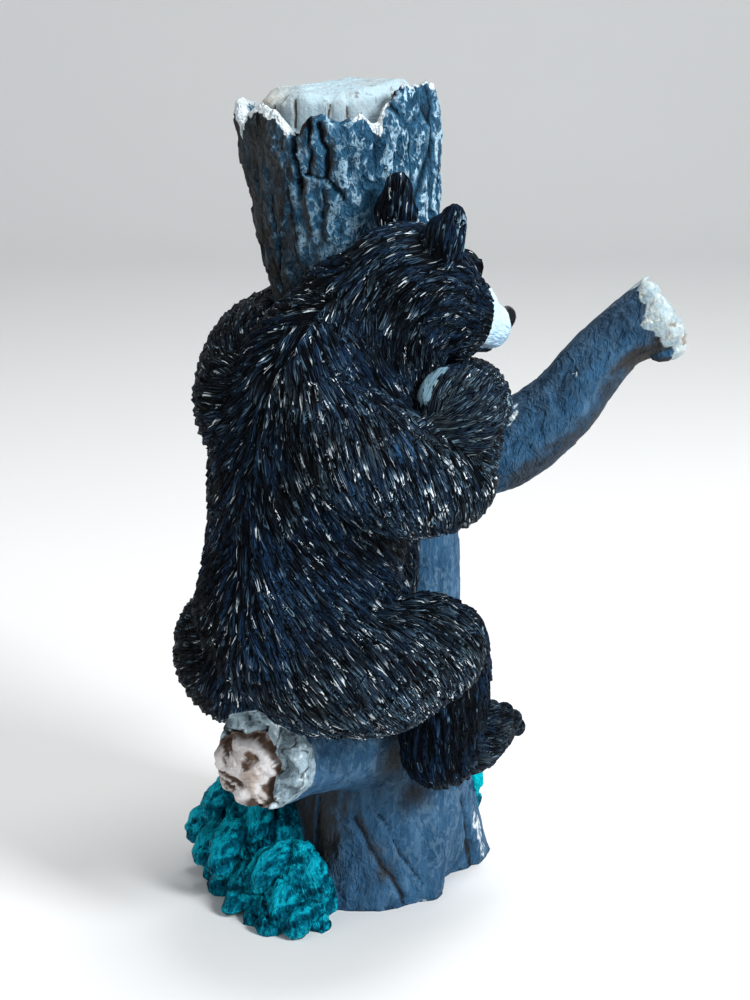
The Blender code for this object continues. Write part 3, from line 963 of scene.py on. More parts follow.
@dataclass(frozen=True)
class Foliage:
    """Clumps of thick drooping leaves at the trunk's foot.

    Attributes:
        clumps: Hub, half sizes of the mass, first and last bearing, leaves a tier, and rows of
            the tiers' height, reach and droop.
        leaf: Half sizes of a leaf.
        sprig: A small leaf on the right-hand root.
    """

    clumps: tuple = (
        ((-32, -3, 9), (15.5, 19, 19), (135, 262), 4, ((25, 12, 8), (16, 20, 11), (6, 15, 6))),
        ((-23, -25, 2), (12, 12, 12), (178, 300), 5, ((14, 8, 6), (8, 11.5, 7), (3.5, 13, 2))),
        ((12, 28, 4), (14, 12, 15), (10, 165), 4, ((20, 10, 7), (11, 14, 8), (4, 16, 4))),
    )
    leaf: Triple = (8.9, 5.0, 3.1)
    sprig: Lump = Lump("sprig", Kind.LEAF, (30.6, 3, 28), (2.5, 3.0, 3.0))

    def forms(self) -> list[Form]:
        """Every clump as one mass with tiers of leaves round it."""
        made: list[Form] = [self.sprig]
        for hub, mass, (first, last), count, rows in self.clumps:
            made.append(Lump("mass", Kind.LEAF, hub, mass))
            for tier, (height, reach, droop) in enumerate(rows):
                for number in range(count):
                    share = (number + 0.5 + 0.3 * (-1) ** tier) / count
                    bearing = first + (last - first) * share
                    turn = math.radians(bearing)
                    swing = 1.4 * math.sin(2.1 * number + tier)
                    centre = (
                        hub[0] + (reach + swing) * math.cos(turn),
                        hub[1] + (reach + swing) * math.sin(turn),
                        height + swing,
                    )
                    tilt = math.degrees(math.atan2(droop, self.leaf[0]))
                    size = tuple(side * (1 + 0.12 * math.cos(1.7 * number + tier)) for side in self.leaf)
                    made.append(Leaf("leaf", Kind.LEAF, centre, size, (swing * 12, tilt, bearing)))
        return made

    def relief(self, grain: Array) -> tuple[Array, Array]:
        """Folds of the leaves.

        Args:
            grain: Places along, across and out of the nearest leaf.

        Returns:
            Height of crests where two noises, long along the leaf, pass through 0, with a raised
            midrib, and their share from 0 to 1.
        """
        bend = 0.9 * value_noise(grain / 5, 14)[:, None]
        coarse, fine = (
            1 - 1.7 * np.abs(value_noise(grain / (2.2 * wide, wide, 2 * wide) + bend, salt))
            for wide, salt in ((2.5, 15), (1.2, 16))
        )
        midrib = bell(grain[:, 1], 0.9)
        ridge = np.clip(0.7 * coarse + 0.3 * fine, 0, 1)
        return 1.5 * (ridge - 0.4) + 0.5 * midrib, np.clip(ridge + 0.3 * midrib, 0, 1)


class Buckets:
    """Points sorted into cubes, so that those round a place are found at once."""

    def __init__(self, points: Array, size: float) -> None:
        """Sorts the points into cubes of that size."""
        self.size = size
        self.low = points.min(0) - 2 * size
        cells = np.floor((points - self.low) / size).astype(np.int64)
        self.span = cells.max(0) + 3
        keys = (cells[:, 0] * self.span[1] + cells[:, 1]) * self.span[2] + cells[:, 2]
        self.order = np.argsort(keys, kind="stable")
        self.keys = keys[self.order]

    def around(self, place: Array) -> Array:
        """Indices of the points in the 27 cubes round a place."""
        cell = np.floor((place - self.low) / self.size).astype(np.int64)
        x, y = np.meshgrid(cell[0] + (-1, 0, 1), cell[1] + (-1, 0, 1))
        column = (x.ravel() * self.span[1] + y.ravel()) * self.span[2] + cell[2]
        first = np.searchsorted(self.keys, column - 1)
        last = np.searchsorted(self.keys, column + 2)
        return np.concatenate([self.order[a:b] for a, b in zip(first, last)])


@dataclass(frozen=True)
class Locks:
    """Locks of fur, one a row: root, way, outward direction and size."""

    roots: Array
    ways: Array
    outs: Array
    sizes: Array


@dataclass(frozen=True)
class Coat:
    """Overlapping locks that swell towards their tips.

    Attributes:
        length: Length of a full-size lock.
        width: Its width.
        depth: Height of its tip over the roots around it.
        sway: Largest turn of a lock from the lie of the fur, in radians.
    """

    length: float = 8.6
    width: float = 2.5
    depth: float = 1.25
    sway: float = 0.15
    seed: int = 5

    def sow(self, points: Array, normals: Array, flow: Array, scale: Array) -> Locks:
        """Spreads locks over a skin.

        Args:
            points: Places on the furry skin.
            normals: Their outward directions.
            flow: The lie of the fur there.
            scale: Size of the locks there, as a share of a full-size one.

        Returns:
            Locks in a random order, none rooted within most of another's length and width.
        """
        random = np.random.default_rng(self.seed)
        buckets = Buckets(points, self.length * 0.7)
        taken = np.zeros(len(points), dtype=bool)
        chosen = []
        for batch in np.array_split(random.permutation(len(points)), 300):
            for root in batch[~taken[batch]]:
                if taken[root]:
                    continue
                chosen.append(root)
                near = buckets.around(points[root])
                away = points[near] - points[root]
                along = np.abs(away @ flow[root]) / (self.length * scale[root])
                across = np.abs(away @ np.cross(normals[root], flow[root])) / (self.width * scale[root])
                beside = normals[near] @ normals[root] > 0.2
                taken[near[beside & (along < 0.55) & (across < 0.72)]] = True
        roots = np.array(chosen)
        turn = random.uniform(-self.sway, self.sway, len(roots))[:, None]
        ways = flow[roots] * np.cos(turn) + np.cross(normals[roots], flow[roots]) * np.sin(turn)
        sizes = scale[roots] * random.uniform(0.8, 1.2, len(roots))
        return Locks(points[roots], ways, normals[roots], sizes)

    def lay(self, locks: Locks, points: Array, normals: Array) -> tuple[Array, Array]:
        """Height of the locks.

        Args:
            locks: The locks.
            points: Places on the skin.
            normals: Their outward directions.

        Returns:
            For each point the highest lock's height, as a share of the depth, and that lock's
            number, or -1. With a from 0 at the root to 1 at the tip, a lock rises as 0.3 + 0.7a, is
            round across, and narrows as the square root of 1 - (2a - 1)^4, times 1 - 0.35a.
        """
        buckets = Buckets(points, self.length * 0.7)
        height = np.zeros(len(points))
        owner = np.full(len(points), -1)
        rows = zip(locks.roots, locks.ways, locks.outs, locks.sizes)
        for number, (root, way, out, size) in enumerate(rows):
            middle = root + way * (0.5 * self.length * size)
            near = buckets.around(middle)
            away = points[near] - root
            along = away @ way / (self.length * size)
            across = away @ np.cross(out, way) / (0.5 * self.width * size)
            narrow = np.clip(1 - (2 * along - 1) ** 4, 0, 1) ** 0.5 * (1 - 0.35 * along)
            across = across / (narrow + 1e-6)
            swell = (0.3 + 0.7 * along) * np.clip(1 - across**2, 0, 1)
            swell *= (normals[near] @ out > 0.2) & (np.abs(away @ out) < 0.5 * self.length)
            higher = swell > height[near]
            height[near[higher]] = swell[higher]
            owner[near[higher]] = number
        return height, owner

    def nearest(self, locks: Locks, points: Array, normals: Array) -> Array:
        """Number of the lock whose root is the nearest to each point.

        Args:
            locks: The locks.
            points: Places on the skin.
            normals: Their outward directions.

        Returns:
            The number with the lowest sum of squares of the ways along, across and off a lock, in
            units of its size, plus a penalty where the skin faces another way.
        """
        buckets = Buckets(points, self.length)
        sizes = np.array((self.length, self.width, self.width))
        lowest = np.full(len(points), np.inf)
        owner = np.zeros(len(points), dtype=int)
        for number, (root, way, out) in enumerate(zip(locks.roots, locks.ways, locks.outs)):
            near = buckets.around(root)
            own = (points[near] - root) @ np.array([way, np.cross(out, way), out]).T / sizes
            cost = (own**2).sum(1) + 2 * (1 - normals[near] @ out)
            lower = cost < lowest[near]
            lowest[near[lower]] = cost[lower]
            owner[near[lower]] = number
        return owner


@dataclass
class Skin:
    """Points, outward directions and faces of a mesh."""

    points: Array
    normals: Array
    faces: Array


def read(items: bpy.types.bpy_prop_collection, key: str) -> Array:
    """One property of many items, three numbers to a row."""
    values = np.empty(len(items) * 3, dtype=np.float32)
    items.foreach_get(key, values)
    return values.reshape(-1, 3).astype(float)


def read_skin(mesh: bpy.types.Mesh) -> Skin:
    """Arrays of a mesh whose faces all have the same number of corners."""
    corners = np.empty(len(mesh.loops), dtype=np.int32)
    mesh.loops.foreach_get("vertex_index", corners)
    points = read(mesh.vertices, "co")
    normals = read(mesh.vertex_normals, "vector")
    return Skin(points, normals, corners.reshape(len(mesh.polygons), -1))


def write_mesh(name: str, points: Array, faces: Array) -> bpy.types.Mesh:
    """A mesh from arrays of points and of faces with equal numbers of corners."""
    mesh = bpy.data.meshes.new(name)
    mesh.vertices.add(len(points))
    mesh.vertices.foreach_set("co", points.astype(np.float32).ravel())
    mesh.loops.add(faces.size)
    mesh.loops.foreach_set("vertex_index", faces.astype(np.int32).ravel())
    mesh.polygons.add(len(faces))
    mesh.polygons.foreach_set("loop_start", np.arange(0, faces.size, faces.shape[1], dtype=np.int32))
    mesh.update(calc_edges=True)
    return mesh


def outer_shell(skin: Skin) -> Skin:
    """The largest connected part of a skin.

    Args:
        skin: A skin of one or more separate shells.

    Returns:
        The shell with the most points. Each point takes the lowest number among its
        neighbours until nothing changes, so that a shell shares one number.
    """
    label = np.arange(len(skin.points))
    first = skin.faces.ravel()
    second = np.roll(skin.faces, -1, axis=1).ravel()
    while True:
        low = np.minimum(label[first], label[second])
        lower = label.copy()
        np.minimum.at(lower, first, low)
        np.minimum.at(lower, second, low)
        lower = lower[lower]
        if np.array_equal(lower, label):
            break
        label = lower
    kept = label == np.bincount(label).argmax()
    renumbered = np.cumsum(kept) - 1
    faces = skin.faces[kept[skin.faces[:, 0]]]
    return Skin(skin.points[kept], skin.normals[kept], renumbered[faces])


@dataclass(frozen=True)
class Survey:
    """What lies at each point of the skin.

    Attributes:
        gaps: Distance from the bear, the wood and the leaves.
        grain: Place along and round the nearest form.
        trunk: 1 where the trunk is the nearest form, and 0.15 elsewhere.
    """

    gaps: dict[Kind, Array]
    grain: Array
    trunk: Array


@dataclass(frozen=True)
class Casting:
    """The whole figurine as one skin.

    Attributes:
        coat: The carved locks.
        combing: Patches within which the fine strokes run side by side.
        voxel: Grid step of the skin before it is thinned.
        soften: Rounds of smoothing of the bare skin.
        triangles: Triangles of the finished mesh.
    """

    cub: Cub = Cub()
    wood: Wood = Wood()
    foliage: Foliage = Foliage()
    coat: Coat = Coat()
    combing: Coat = Coat(length=13.0, width=6.5, sway=0.05)
    voxel: float = 0.72
    soften: int = 6
    triangles: int = 196000
    margin: float = 14.0

    def forms(self) -> list[Form]:
        """Every form of the casting."""
        return self.wood.forms() + self.cub.forms() + self.foliage.forms()

    def fused(self) -> Skin:
        """One smooth skin round all the forms."""
        patches = [form.surface() for form in self.forms()]
        starts = np.cumsum([0] + [len(patch.points) for patch in patches])
        points = np.vstack([patch.points for patch in patches])
        faces = np.vstack([patch.faces + start for patch, start in zip(patches, starts)])
        holder = bpy.data.objects.new("forms", write_mesh("forms", points, faces))
        bpy.context.scene.collection.objects.link(holder)
        remesh = holder.modifiers.new("Skin", "REMESH")
        remesh.mode = "VOXEL"
        remesh.voxel_size = self.voxel
        soften = holder.modifiers.new("Soften", "SMOOTH")
        soften.factor = 0.5
        soften.iterations = self.soften
        return outer_shell(self.evaluated(holder))

    def evaluated(self, holder: bpy.types.Object) -> Skin:
        """Arrays of an object after its modifiers; the object is removed."""
        bpy.context.view_layer.update()
        result = holder.evaluated_get(bpy.context.evaluated_depsgraph_get())
        mesh = bpy.data.meshes.new_from_object(result)
        skin = read_skin(mesh)
        source = holder.data
        bpy.data.objects.remove(holder, do_unlink=True)
        bpy.data.meshes.remove(source)
        bpy.data.meshes.remove(mesh)
        return skin

    def survey(self, points: Array) -> Survey:
        """Measures every form at every point near it.

        Args:
            points: Places on the skin.

        Returns:
            Distances by kind, and the place on the nearest form.
        """
        gaps = {kind: np.full(len(points), 60.0) for kind in Kind}
        nearest = np.full(len(points), 60.0)
        grain = np.zeros((len(points), 3))
        trunk = np.ones(len(points))
        for form in self.forms():
            patch = form.surface().points
            inside = ((points > patch.min(0) - self.margin) & (points < patch.max(0) + self.margin)).all(1)
            chosen = np.flatnonzero(inside)
            if not len(chosen):
                continue
            near = form.near(points[chosen])
            gaps[form.kind][chosen] = np.minimum(gaps[form.kind][chosen], near.gap)
            closer = near.gap < nearest[chosen]
            nearest[chosen[closer]] = near.gap[closer]
            grain[chosen[closer]] = near.grain[closer]
            trunk[chosen[closer]] = 1.0 if form.name == "trunk" else 0.15
        return Survey(gaps, grain, trunk)


def zone(survey: Survey, kind: Kind, width: float = 2.0) -> Array:
    """How far a kind of form is the nearest one, from 0 to 1 with 0.5 at the border."""
    others = np.min([survey.gaps[other] for other in Kind if other is not kind], axis=0)
    return np.clip(0.5 + (others - survey.gaps[kind]) / (2 * width), 0, 1)


@dataclass(frozen=True)
class Carver:
    """Carves the casting and measures what its paint needs.

    Attributes:
        spots: Worn spots, and a painted glint on the near eye, as rows of two ends, a radius and how bare
            they are.
        lights: Spots of pale grey brushing and painted highlight between the fur's grooves, as rows of
            a centre, a radius and a strength.
        glazes: The same for blue glaze on the fur.
    """

    casting: Casting
    spots: Rows = (
        # The second row is a painted glint on the near eye; the others are rubbed paint.
        (12.2, -62.6, 163.4, 15.9, -60.2, 169.4, 2.9, 1.0), (29.4, -34, 187.5, 29.2, -34.2, 187, 0.5, 1.0),
        (37.3, -32.9, 156.5, 35.1, -37.6, 152.5, 1.8, 0.7),
        (34.8, -39, 152, 33, -46, 147, 1.2, 0.5), (32.7, -49, 146, 32.5, -50, 139, 0.9, 0.4),
        (55.3, -12.6, 158.2, 56.5, -12.4, 157, 1.1, 0.6), (22.6, -51.5, 208, 24, -52.5, 200.5, 2.0, 0.6),
        (62, -5.5, 172.3, 70, -8, 177, 1.2, 0.5), (12.7, -23.6, 0.8, 18.7, -20.6, 0.6, 1.1, 0.6),
        (30, 0.1, 18.4, 33, 5.8, 3.1, 3.0, 0.6), (39.8, -8.5, 148.5, 38, -9.5, 143, 2.2, 0.6),
    )
    lights: Rows = (
        (22, -48, 184, 5, 0.7), (-4, -57, 184, 8, 0.7), (-3, -76, 153, 8, 0.7), (9, -74, 152, 5, 0.7),
        (-26, -62, 158, 8, 0.7),
    )
    glazes: Rows = (
        (7.6, -76, 151.5, 4.0, 1.0), (-6, -77, 140, 4.5, 0.5), (-25, -70, 115, 8, 0.6),
        (-28, -72, 95, 8, 0.5),
    )

    def lock_scale(self, points: Array) -> Array:
        """Size of the fur's locks: small on the face and the paws' ends."""
        face = self.casting.cub.face()
        from_tip = distance(points, face.tip)
        scale = 0.42 + 0.33 * smoothstep(from_tip, 6, 20) + 0.25 * smoothstep(from_tip, 26, 52)
        for foot in self.casting.cub.near_toes[1], self.casting.cub.far_toes[1]:
            scale = np.minimum(scale, 0.5 + 0.5 * smoothstep(distance(points, foot), 5, 18))
        return scale

    def face_push(self, points: Array) -> tuple[Array, Array]:
        """Carving of the face.

        Args:
            points: Places on the skin.

        Returns:
            Height to add, and the depth of its dark lines: sockets round the eyes, the mouth's
            line below the muzzle, the cleft under the nose and nostrils, as bell curves.
        """
        face = self.casting.cub.face()
        own = face.own(points)
        ahead, right, up = own.T
        muzzle = smoothstep(ahead, -11, -7) * (np.linalg.norm(own, axis=1) < 13)
        mouth = bell(up + 5.6 + 0.12 * ahead, 0.6) * muzzle
        cleft = bell(right, 0.4) * (up < 0.5) * (up > -3) * (ahead > 3)
        height = -0.7 * mouth - 0.5 * cleft
        dark = np.maximum(0.8 * mouth, 0.8 * cleft)
        for eye in face.eyes():
            away = distance(points, eye)
            ring = bell(away - face.eye_radius, 0.6)
            height = height - 0.8 * ring + 0.8 * smoothstep(-away, -face.eye_radius, -0.6)
            dark = np.maximum(dark, ring)
        for side in (1, -1):
            height = height - 0.9 * bell(distance(points, face.place(7.6, side * 1.8, 2.2)), 0.8)
        return height, dark

    def gloss(self, points: Array) -> Array:
        """Where the nose and the eyes are glossy black, from 0 to 1."""
        face = self.casting.cub.face()
        nose = np.linalg.norm((points - face.nose()) @ face.axes().T / face.nose_half, axis=1)
        eye = closest(points, face.eyes())
        return np.maximum(smoothstep(-nose, -1.3, -1.12), smoothstep(-eye, -2.1, -1.7))

    def pale(self, points: Array) -> Array:
        """Where the muzzle is painted pale, from 0 to 1."""
        own = self.casting.cub.face().own(points)
        ahead = smoothstep(own[:, 0], -5.6, -4.2) * smoothstep(-np.linalg.norm(own, axis=1), -15.5, -13.5)
        return ahead * smoothstep(own[:, 2], -6.2, -5.3) * smoothstep(-own[:, 2], -11.2, -9.8)

    def smoothed(self, points: Array) -> Array:
        """How far the locks are omitted on the face, the ears' tops and the near toes."""
        cub = self.casting.cub
        from_tip = np.linalg.norm(cub.face().own(points), axis=1)
        from_ears = closest(points, [ear.centre for ear in cub.ears()[1::2]])
        smooth = 0.8 * smoothstep(-from_tip, -12, -8) + 0.6 * smoothstep(-from_ears, -9, -6)
        return np.maximum(smooth, 0.9 * smoothstep(-closest(points, cub.near_toes), -8, -5))

    def ear_push(self, points: Array) -> Array:
        """Hollows of the ears' fronts, as bell curves round a place ahead of each ear."""
        height = np.zeros(len(points))
        for ear in self.casting.cub.ears()[::2]:
            own = (points - ear.centre) @ ear.axes().T
            front = np.exp(-((own[:, 1] / 3.0) ** 2 + ((own[:, 2] - 2.5) / 4.6) ** 2)) * (own[:, 0] > 0.6)
            height -= 1.3 * front * (np.abs(own[:, 0]) < 6)
        return height

    def wear_and_glint(self, points: Array) -> Array:
        """Rubbed light paint and the painted eye glint: 1 inside the spots, which are capsules, 0 outside."""
        share = np.zeros(len(points))
        for *ends, radius, strength in self.spots:
            away = from_line(points, np.array(ends[:3]), np.array(ends[3:]))
            share = np.maximum(share, strength * smoothstep(-away, -1.25 * radius, -0.75 * radius))
        return share

    def palm_crease(self, points: Array) -> Array:
        """The sunk line where the raised palm meets the neck and the head, darkened as painted shade, from 0
        to 1.
        """
        cub = self.casting.cub
        palm = cub.palm.near(points).gap
        body = np.min([limb.near(points).gap for limb in (cub.neck, cub.head, cub.torso)], axis=0)
        return bell(palm - body, 1.1) * (palm < 3) * smoothstep(points[:, 2], 150, 156)

    def toe_clefts(self, points: Array) -> Array:
        """Dark clefts between neighbouring toes, as bell curves round their midpoints."""
        depth = np.zeros(len(points))
        cub = self.casting.cub
        for row in cub.near_toes, cub.far_toes, cub.far_fingers:
            for first, second in zip(np.array(row), np.array(row)[1:]):
                middle = (first + second) / 2
                across = (points - middle) @ unit(second - first)
                depth += bell(across, 0.7) * (distance(points, middle) < cub.toe_radius * 1.7)
        return np.clip(depth, 0, 1)


@dataclass(frozen=True)
class Carved:
    """Carving of a skin and what its paint reads.

    Attributes:
        push: Move of each point.
        values: Numbers on each point, by name.
        grain: Place along and round the nearest form.
        locks: The fur's locks.
        combs: The patches of side-by-side strokes.
    """

    push: Array
    values: dict[str, Array]
    grain: Array
    locks: Locks
    combs: Locks | None


@dataclass(frozen=True)
class Sculptor:
    """Turns the casting's forms into a carved mesh with its paint's numbers."""

    casting: Casting
    carver: Carver

    def carve(self, skin: Skin, locks: Locks | None) -> Carved:
        """Works out the carving of a skin.

        Args:
            skin: The bare or the carved skin.
            locks: The fur's locks, or None to spread them first.

        Returns:
            The carving and the paint's numbers.
        """
        casting = self.casting
        points, normals = skin.points, skin.normals
        survey = casting.survey(points)
        fur_zone, bark_zone, leaf_zone = (zone(survey, kind) for kind in (Kind.FUR, Kind.BARK, Kind.LEAF))
        furry = np.flatnonzero(fur_zone > 0.35)
        flow = casting.cub.lie(points[furry], normals[furry])
        scale = self.carver.lock_scale(points[furry])
        combs = None
        if locks is None:
            rooted = np.flatnonzero(fur_zone[furry] > 0.55)
            where = points[furry][rooted], normals[furry][rooted], flow[rooted]
            locks = casting.coat.sow(*where, scale[rooted])
            combs = casting.combing.sow(*where, np.clip(scale[rooted], 0.6, 1))
        tuft, owner = casting.coat.lay(locks, points[furry], normals[furry])
        face_height, face_dark = self.carver.face_push(points)
        clefts = self.carver.toe_clefts(points)
        gloss, pale = self.carver.gloss(points), self.carver.pale(points)
        wear_and_glint = self.carver.wear_and_glint(points)
        smooth = self.carver.smoothed(points) + 0.5 * (wear_and_glint > 0.8)
        bare = 1 - np.clip(gloss + smooth, 0, 1)

        height = np.zeros(len(points))
        level = np.full(len(points), 0.6)
        tone = np.full(len(points), 0.5)
        size = casting.coat.depth * np.clip(scale, 0.45, 1)
        height[furry] = ((tuft - 0.25) * size + 0.75) * bare[furry] * smoothstep(fur_zone[furry], 0.35, 0.75)
        level[furry] = tuft
        tone[furry] = np.where(owner < 0, 0.5, hashed(np.outer(owner, (1.0, 0, 0)), 9))
        grey = np.zeros(len(points))
        shares = casting.cub.beside(points[furry])[1]
        grey[furry] = np.array(casting.cub.greys) @ shares
        crease = self.carver.palm_crease(points)
        height += (face_height + self.carver.ear_push(points)) * (fur_zone > 0.5) - 1.2 * clefts
        height += 0.9 * wear_and_glint * (wear_and_glint > 0.8) * (fur_zone > 0.5) - 1.1 * crease

        bark_height, bark_level = casting.wood.relief(points, survey.grain, survey.trunk)
        reach, bearing = casting.wood.trunk.polar(points)
        rim = casting.wood.trunk.rim_height(bearing)
        z = points[:, 2]
        core = smoothstep(-reach, -22.6, -21.6) * smoothstep(z, 215, 219)
        top = smoothstep(z, 222, 226) * smoothstep(normals[:, 2], 0.3, 0.7)
        grown = bark_zone * (1 - np.maximum(core, top))
        height += np.where(bark_zone > 0.5, bark_height * grown, 0)
        core_height, core_level = casting.wood.core_relief(points)
        core_height = core_height * (1 - 0.6 * top) + 1.1 * top * value_noise(points / 6.5, 20)
        height += core * core_height * (bark_zone > 0.5)
        wood_level = bark_level * (1 - core) + core * np.maximum(core_level, top)
        level = np.where(bark_zone > 0.5, wood_level, level)

        leaf_height, leaf_level = casting.foliage.relief(survey.grain)
        height += np.where(leaf_zone > 0.5, leaf_height, 0)
        level = np.where(leaf_zone > 0.5, leaf_level, level)

        push = normals * height[:, None]
        wood, ring, cream = core, np.zeros(len(points)), np.zeros(len(points))
        for end in casting.wood.ends():
            marks = end.carve(points)
            push += marks.push
            wood = np.maximum(wood, marks.shown)
            ring = np.maximum(ring, marks.ring)
            cream = np.maximum(cream, marks.cream)
            level = np.where(marks.shown > 0.4, marks.level, level)
        paint = np.interp(bearing, *np.array(casting.wood.trunk.rim_paint).T)
        patchy = value_noise(points / 3.2, 23)
        tips = smoothstep(z, 212, 216) * smoothstep(reach, 21, 22.5)
        tips = tips * smoothstep((z - rim) / paint, -2.9 - patchy, -0.6) * (paint + 0.25 * patchy)
        # Painted warm shade, partly a brown wash on the trunk: brown where the skin faces -X, away from the
        # light, and in the shaded hollows.
        left = smoothstep(-normals[:, 0], 0.1, 0.65) * (0.35 + 0.65 * survey.trunk)
        left = np.maximum(left, blobs(points, casting.wood.recesses))
        # Painted sheen, the strength of the painted highlights: more on the downward faces of the near arm
        # and thigh, less on the shin, the foot and the near ear.
        lowest = smoothstep(-normals[:, 2], -0.1, 0.5)
        sheen = np.zeros(len(points))
        arm, thigh, shin, foot = shares[[4, 7, 8, 10]]
        sheen[furry] = (arm + thigh) * (0.5 + 1.0 * lowest[furry]) - 0.8 * shin - 2.0 * foot
        near_ear = np.min([ear.near(points).gap for ear in casting.cub.ears()[:2]], axis=0)
        sheen -= 1.2 * smoothstep(-near_ear, -1.2, 0)
        lobe = smoothstep(-casting.cub.palm.near(points).gap, -1.5, 0) * smoothstep(z, 147, 152)
        grey += (2.6 - grey) * lobe
        # Spots of pale grey brushing with painted highlight on the head, shoulder and arm.
        grey += blobs(points, self.carver.lights)
        level = level + 0.5 * lobe
        # Painted shade under the upper branch: its downward faces take the same brown.
        under = smoothstep(-normals[:, 2], 0.1, 0.5) * smoothstep(points[:, 0], 34, 42)
        under = under * smoothstep(z, 110, 116)
        values = {
            "fur": fur_zone,
            "leaf": leaf_zone,
            "wood": wood,
            "tips": tips * (bark_zone > 0.3),
            "pale": pale * (fur_zone > 0.4),
            "gloss": gloss * (fur_zone > 0.3),
            "level": level,
            "tone": tone,
            # Dark face lines and toe clefts, and painted shade in the palm's crease.
            "dark": np.clip(face_dark * (fur_zone > 0.5) + clefts + 0.8 * crease, 0, 1),
            "left": np.maximum(left, under),
            # Painted light: how far the skin faces right, front and up, toward the light.
            "right": smoothstep(normals @ np.array((0.9, -0.15, 0.35)), 0.2, 0.8),
            "ring": ring,
            "cream": cream,
            "grey": grey,
            "wear_and_glint": wear_and_glint,
            "glaze": blobs(points, self.carver.glazes),
            "sheen": sheen - 2.2 * lobe,
            "calm": 1 - casting.wood.rough(points, survey.trunk),
        }
        return Carved(push, values, survey.grain, locks, combs)

    def thinned(self, points: Array, faces: Array) -> Skin:
        """The carved skin in triangles, with fewest where it is flattest.

        Args:
            points: The carved points.
            faces: Quads between them.

        Returns:
            The skin within the casting's number of triangles.
        """
        triangles = np.vstack([faces[:, [0, 1, 2]], faces[:, [0, 2, 3]]])
        holder = bpy.data.objects.new("carved", write_mesh("carved", points, triangles))
        bpy.context.scene.collection.objects.link(holder)
        fewer = holder.modifiers.new("Fewer", "DECIMATE")
        fewer.ratio = min(1, self.casting.triangles / len(triangles))
        return self.casting.evaluated(holder)

    def comb_map(self, skin: Skin, combs: Locks) -> Array:
        """Places on the combed patches for each corner of each face, in metres.

        Args:
            skin: The finished skin.
            combs: The patches.

        Returns:
            (along, across) from the root of the face's patch, in the patch's size, plus a shift of
            its own.
        """
        corners = skin.points[skin.faces]
        outs = unit(np.cross(corners[:, 1] - corners[:, 0], corners[:, 2] - corners[:, 0]))
        owner = self.casting.combing.nearest(combs, corners.mean(1), outs)
        away = corners - combs.roots[owner][:, None]
        across = np.cross(combs.outs, combs.ways)[owner][:, None]
        places = np.stack([(away * combs.ways[owner][:, None]).sum(-1), (away * across).sum(-1)], axis=-1)
        shift = np.stack([hashed(np.outer(owner, (1.0, 0, 0)), salt) for salt in (21, 22)], axis=-1) * 60
        return (places / combs.sizes[owner][:, None, None] + shift[:, None]) * SHARE

    def sculpt(self, name: str) -> bpy.types.Object:
        """Builds the carved object.

        Args:
            name: The object's name.

        Returns:
            The object, with its paint's numbers as attributes and the strokes' places as a UV map.
        """
        bare = self.casting.fused()
        LOG.info("bare skin: %d points", len(bare.points))
        carved = self.carve(bare, None)
        LOG.info("fur: %d locks", len(carved.locks.roots))
        points = bare.points + carved.push
        points[:, 2] = np.maximum(points[:, 2], 0)
        skin = self.thinned(points, bare.faces)
        skin.points[:, 2] = np.maximum(skin.points[:, 2], 0)
        paint = self.carve(skin, carved.locks)
        mesh = write_mesh(name, skin.points * SHARE, skin.faces)
        for key, values in paint.values.items():
            layer = mesh.attributes.new(key, "FLOAT", "POINT")
            layer.data.foreach_set("value", values.astype(np.float32))
        grain = mesh.attributes.new("grain", "FLOAT_VECTOR", "POINT")
        grain.data.foreach_set("vector", (paint.grain * SHARE).astype(np.float32).ravel())
        places = mesh.uv_layers.new(name="strokes")
        places.data.foreach_set("uv", self.comb_map(skin, carved.combs).astype(np.float32).ravel())
        mesh.shade_smooth()
        figure = bpy.data.objects.new(name, mesh)
        bpy.context.scene.collection.objects.link(figure)
        LOG.info("carved skin: %d triangles", len(skin.faces))
        return figure


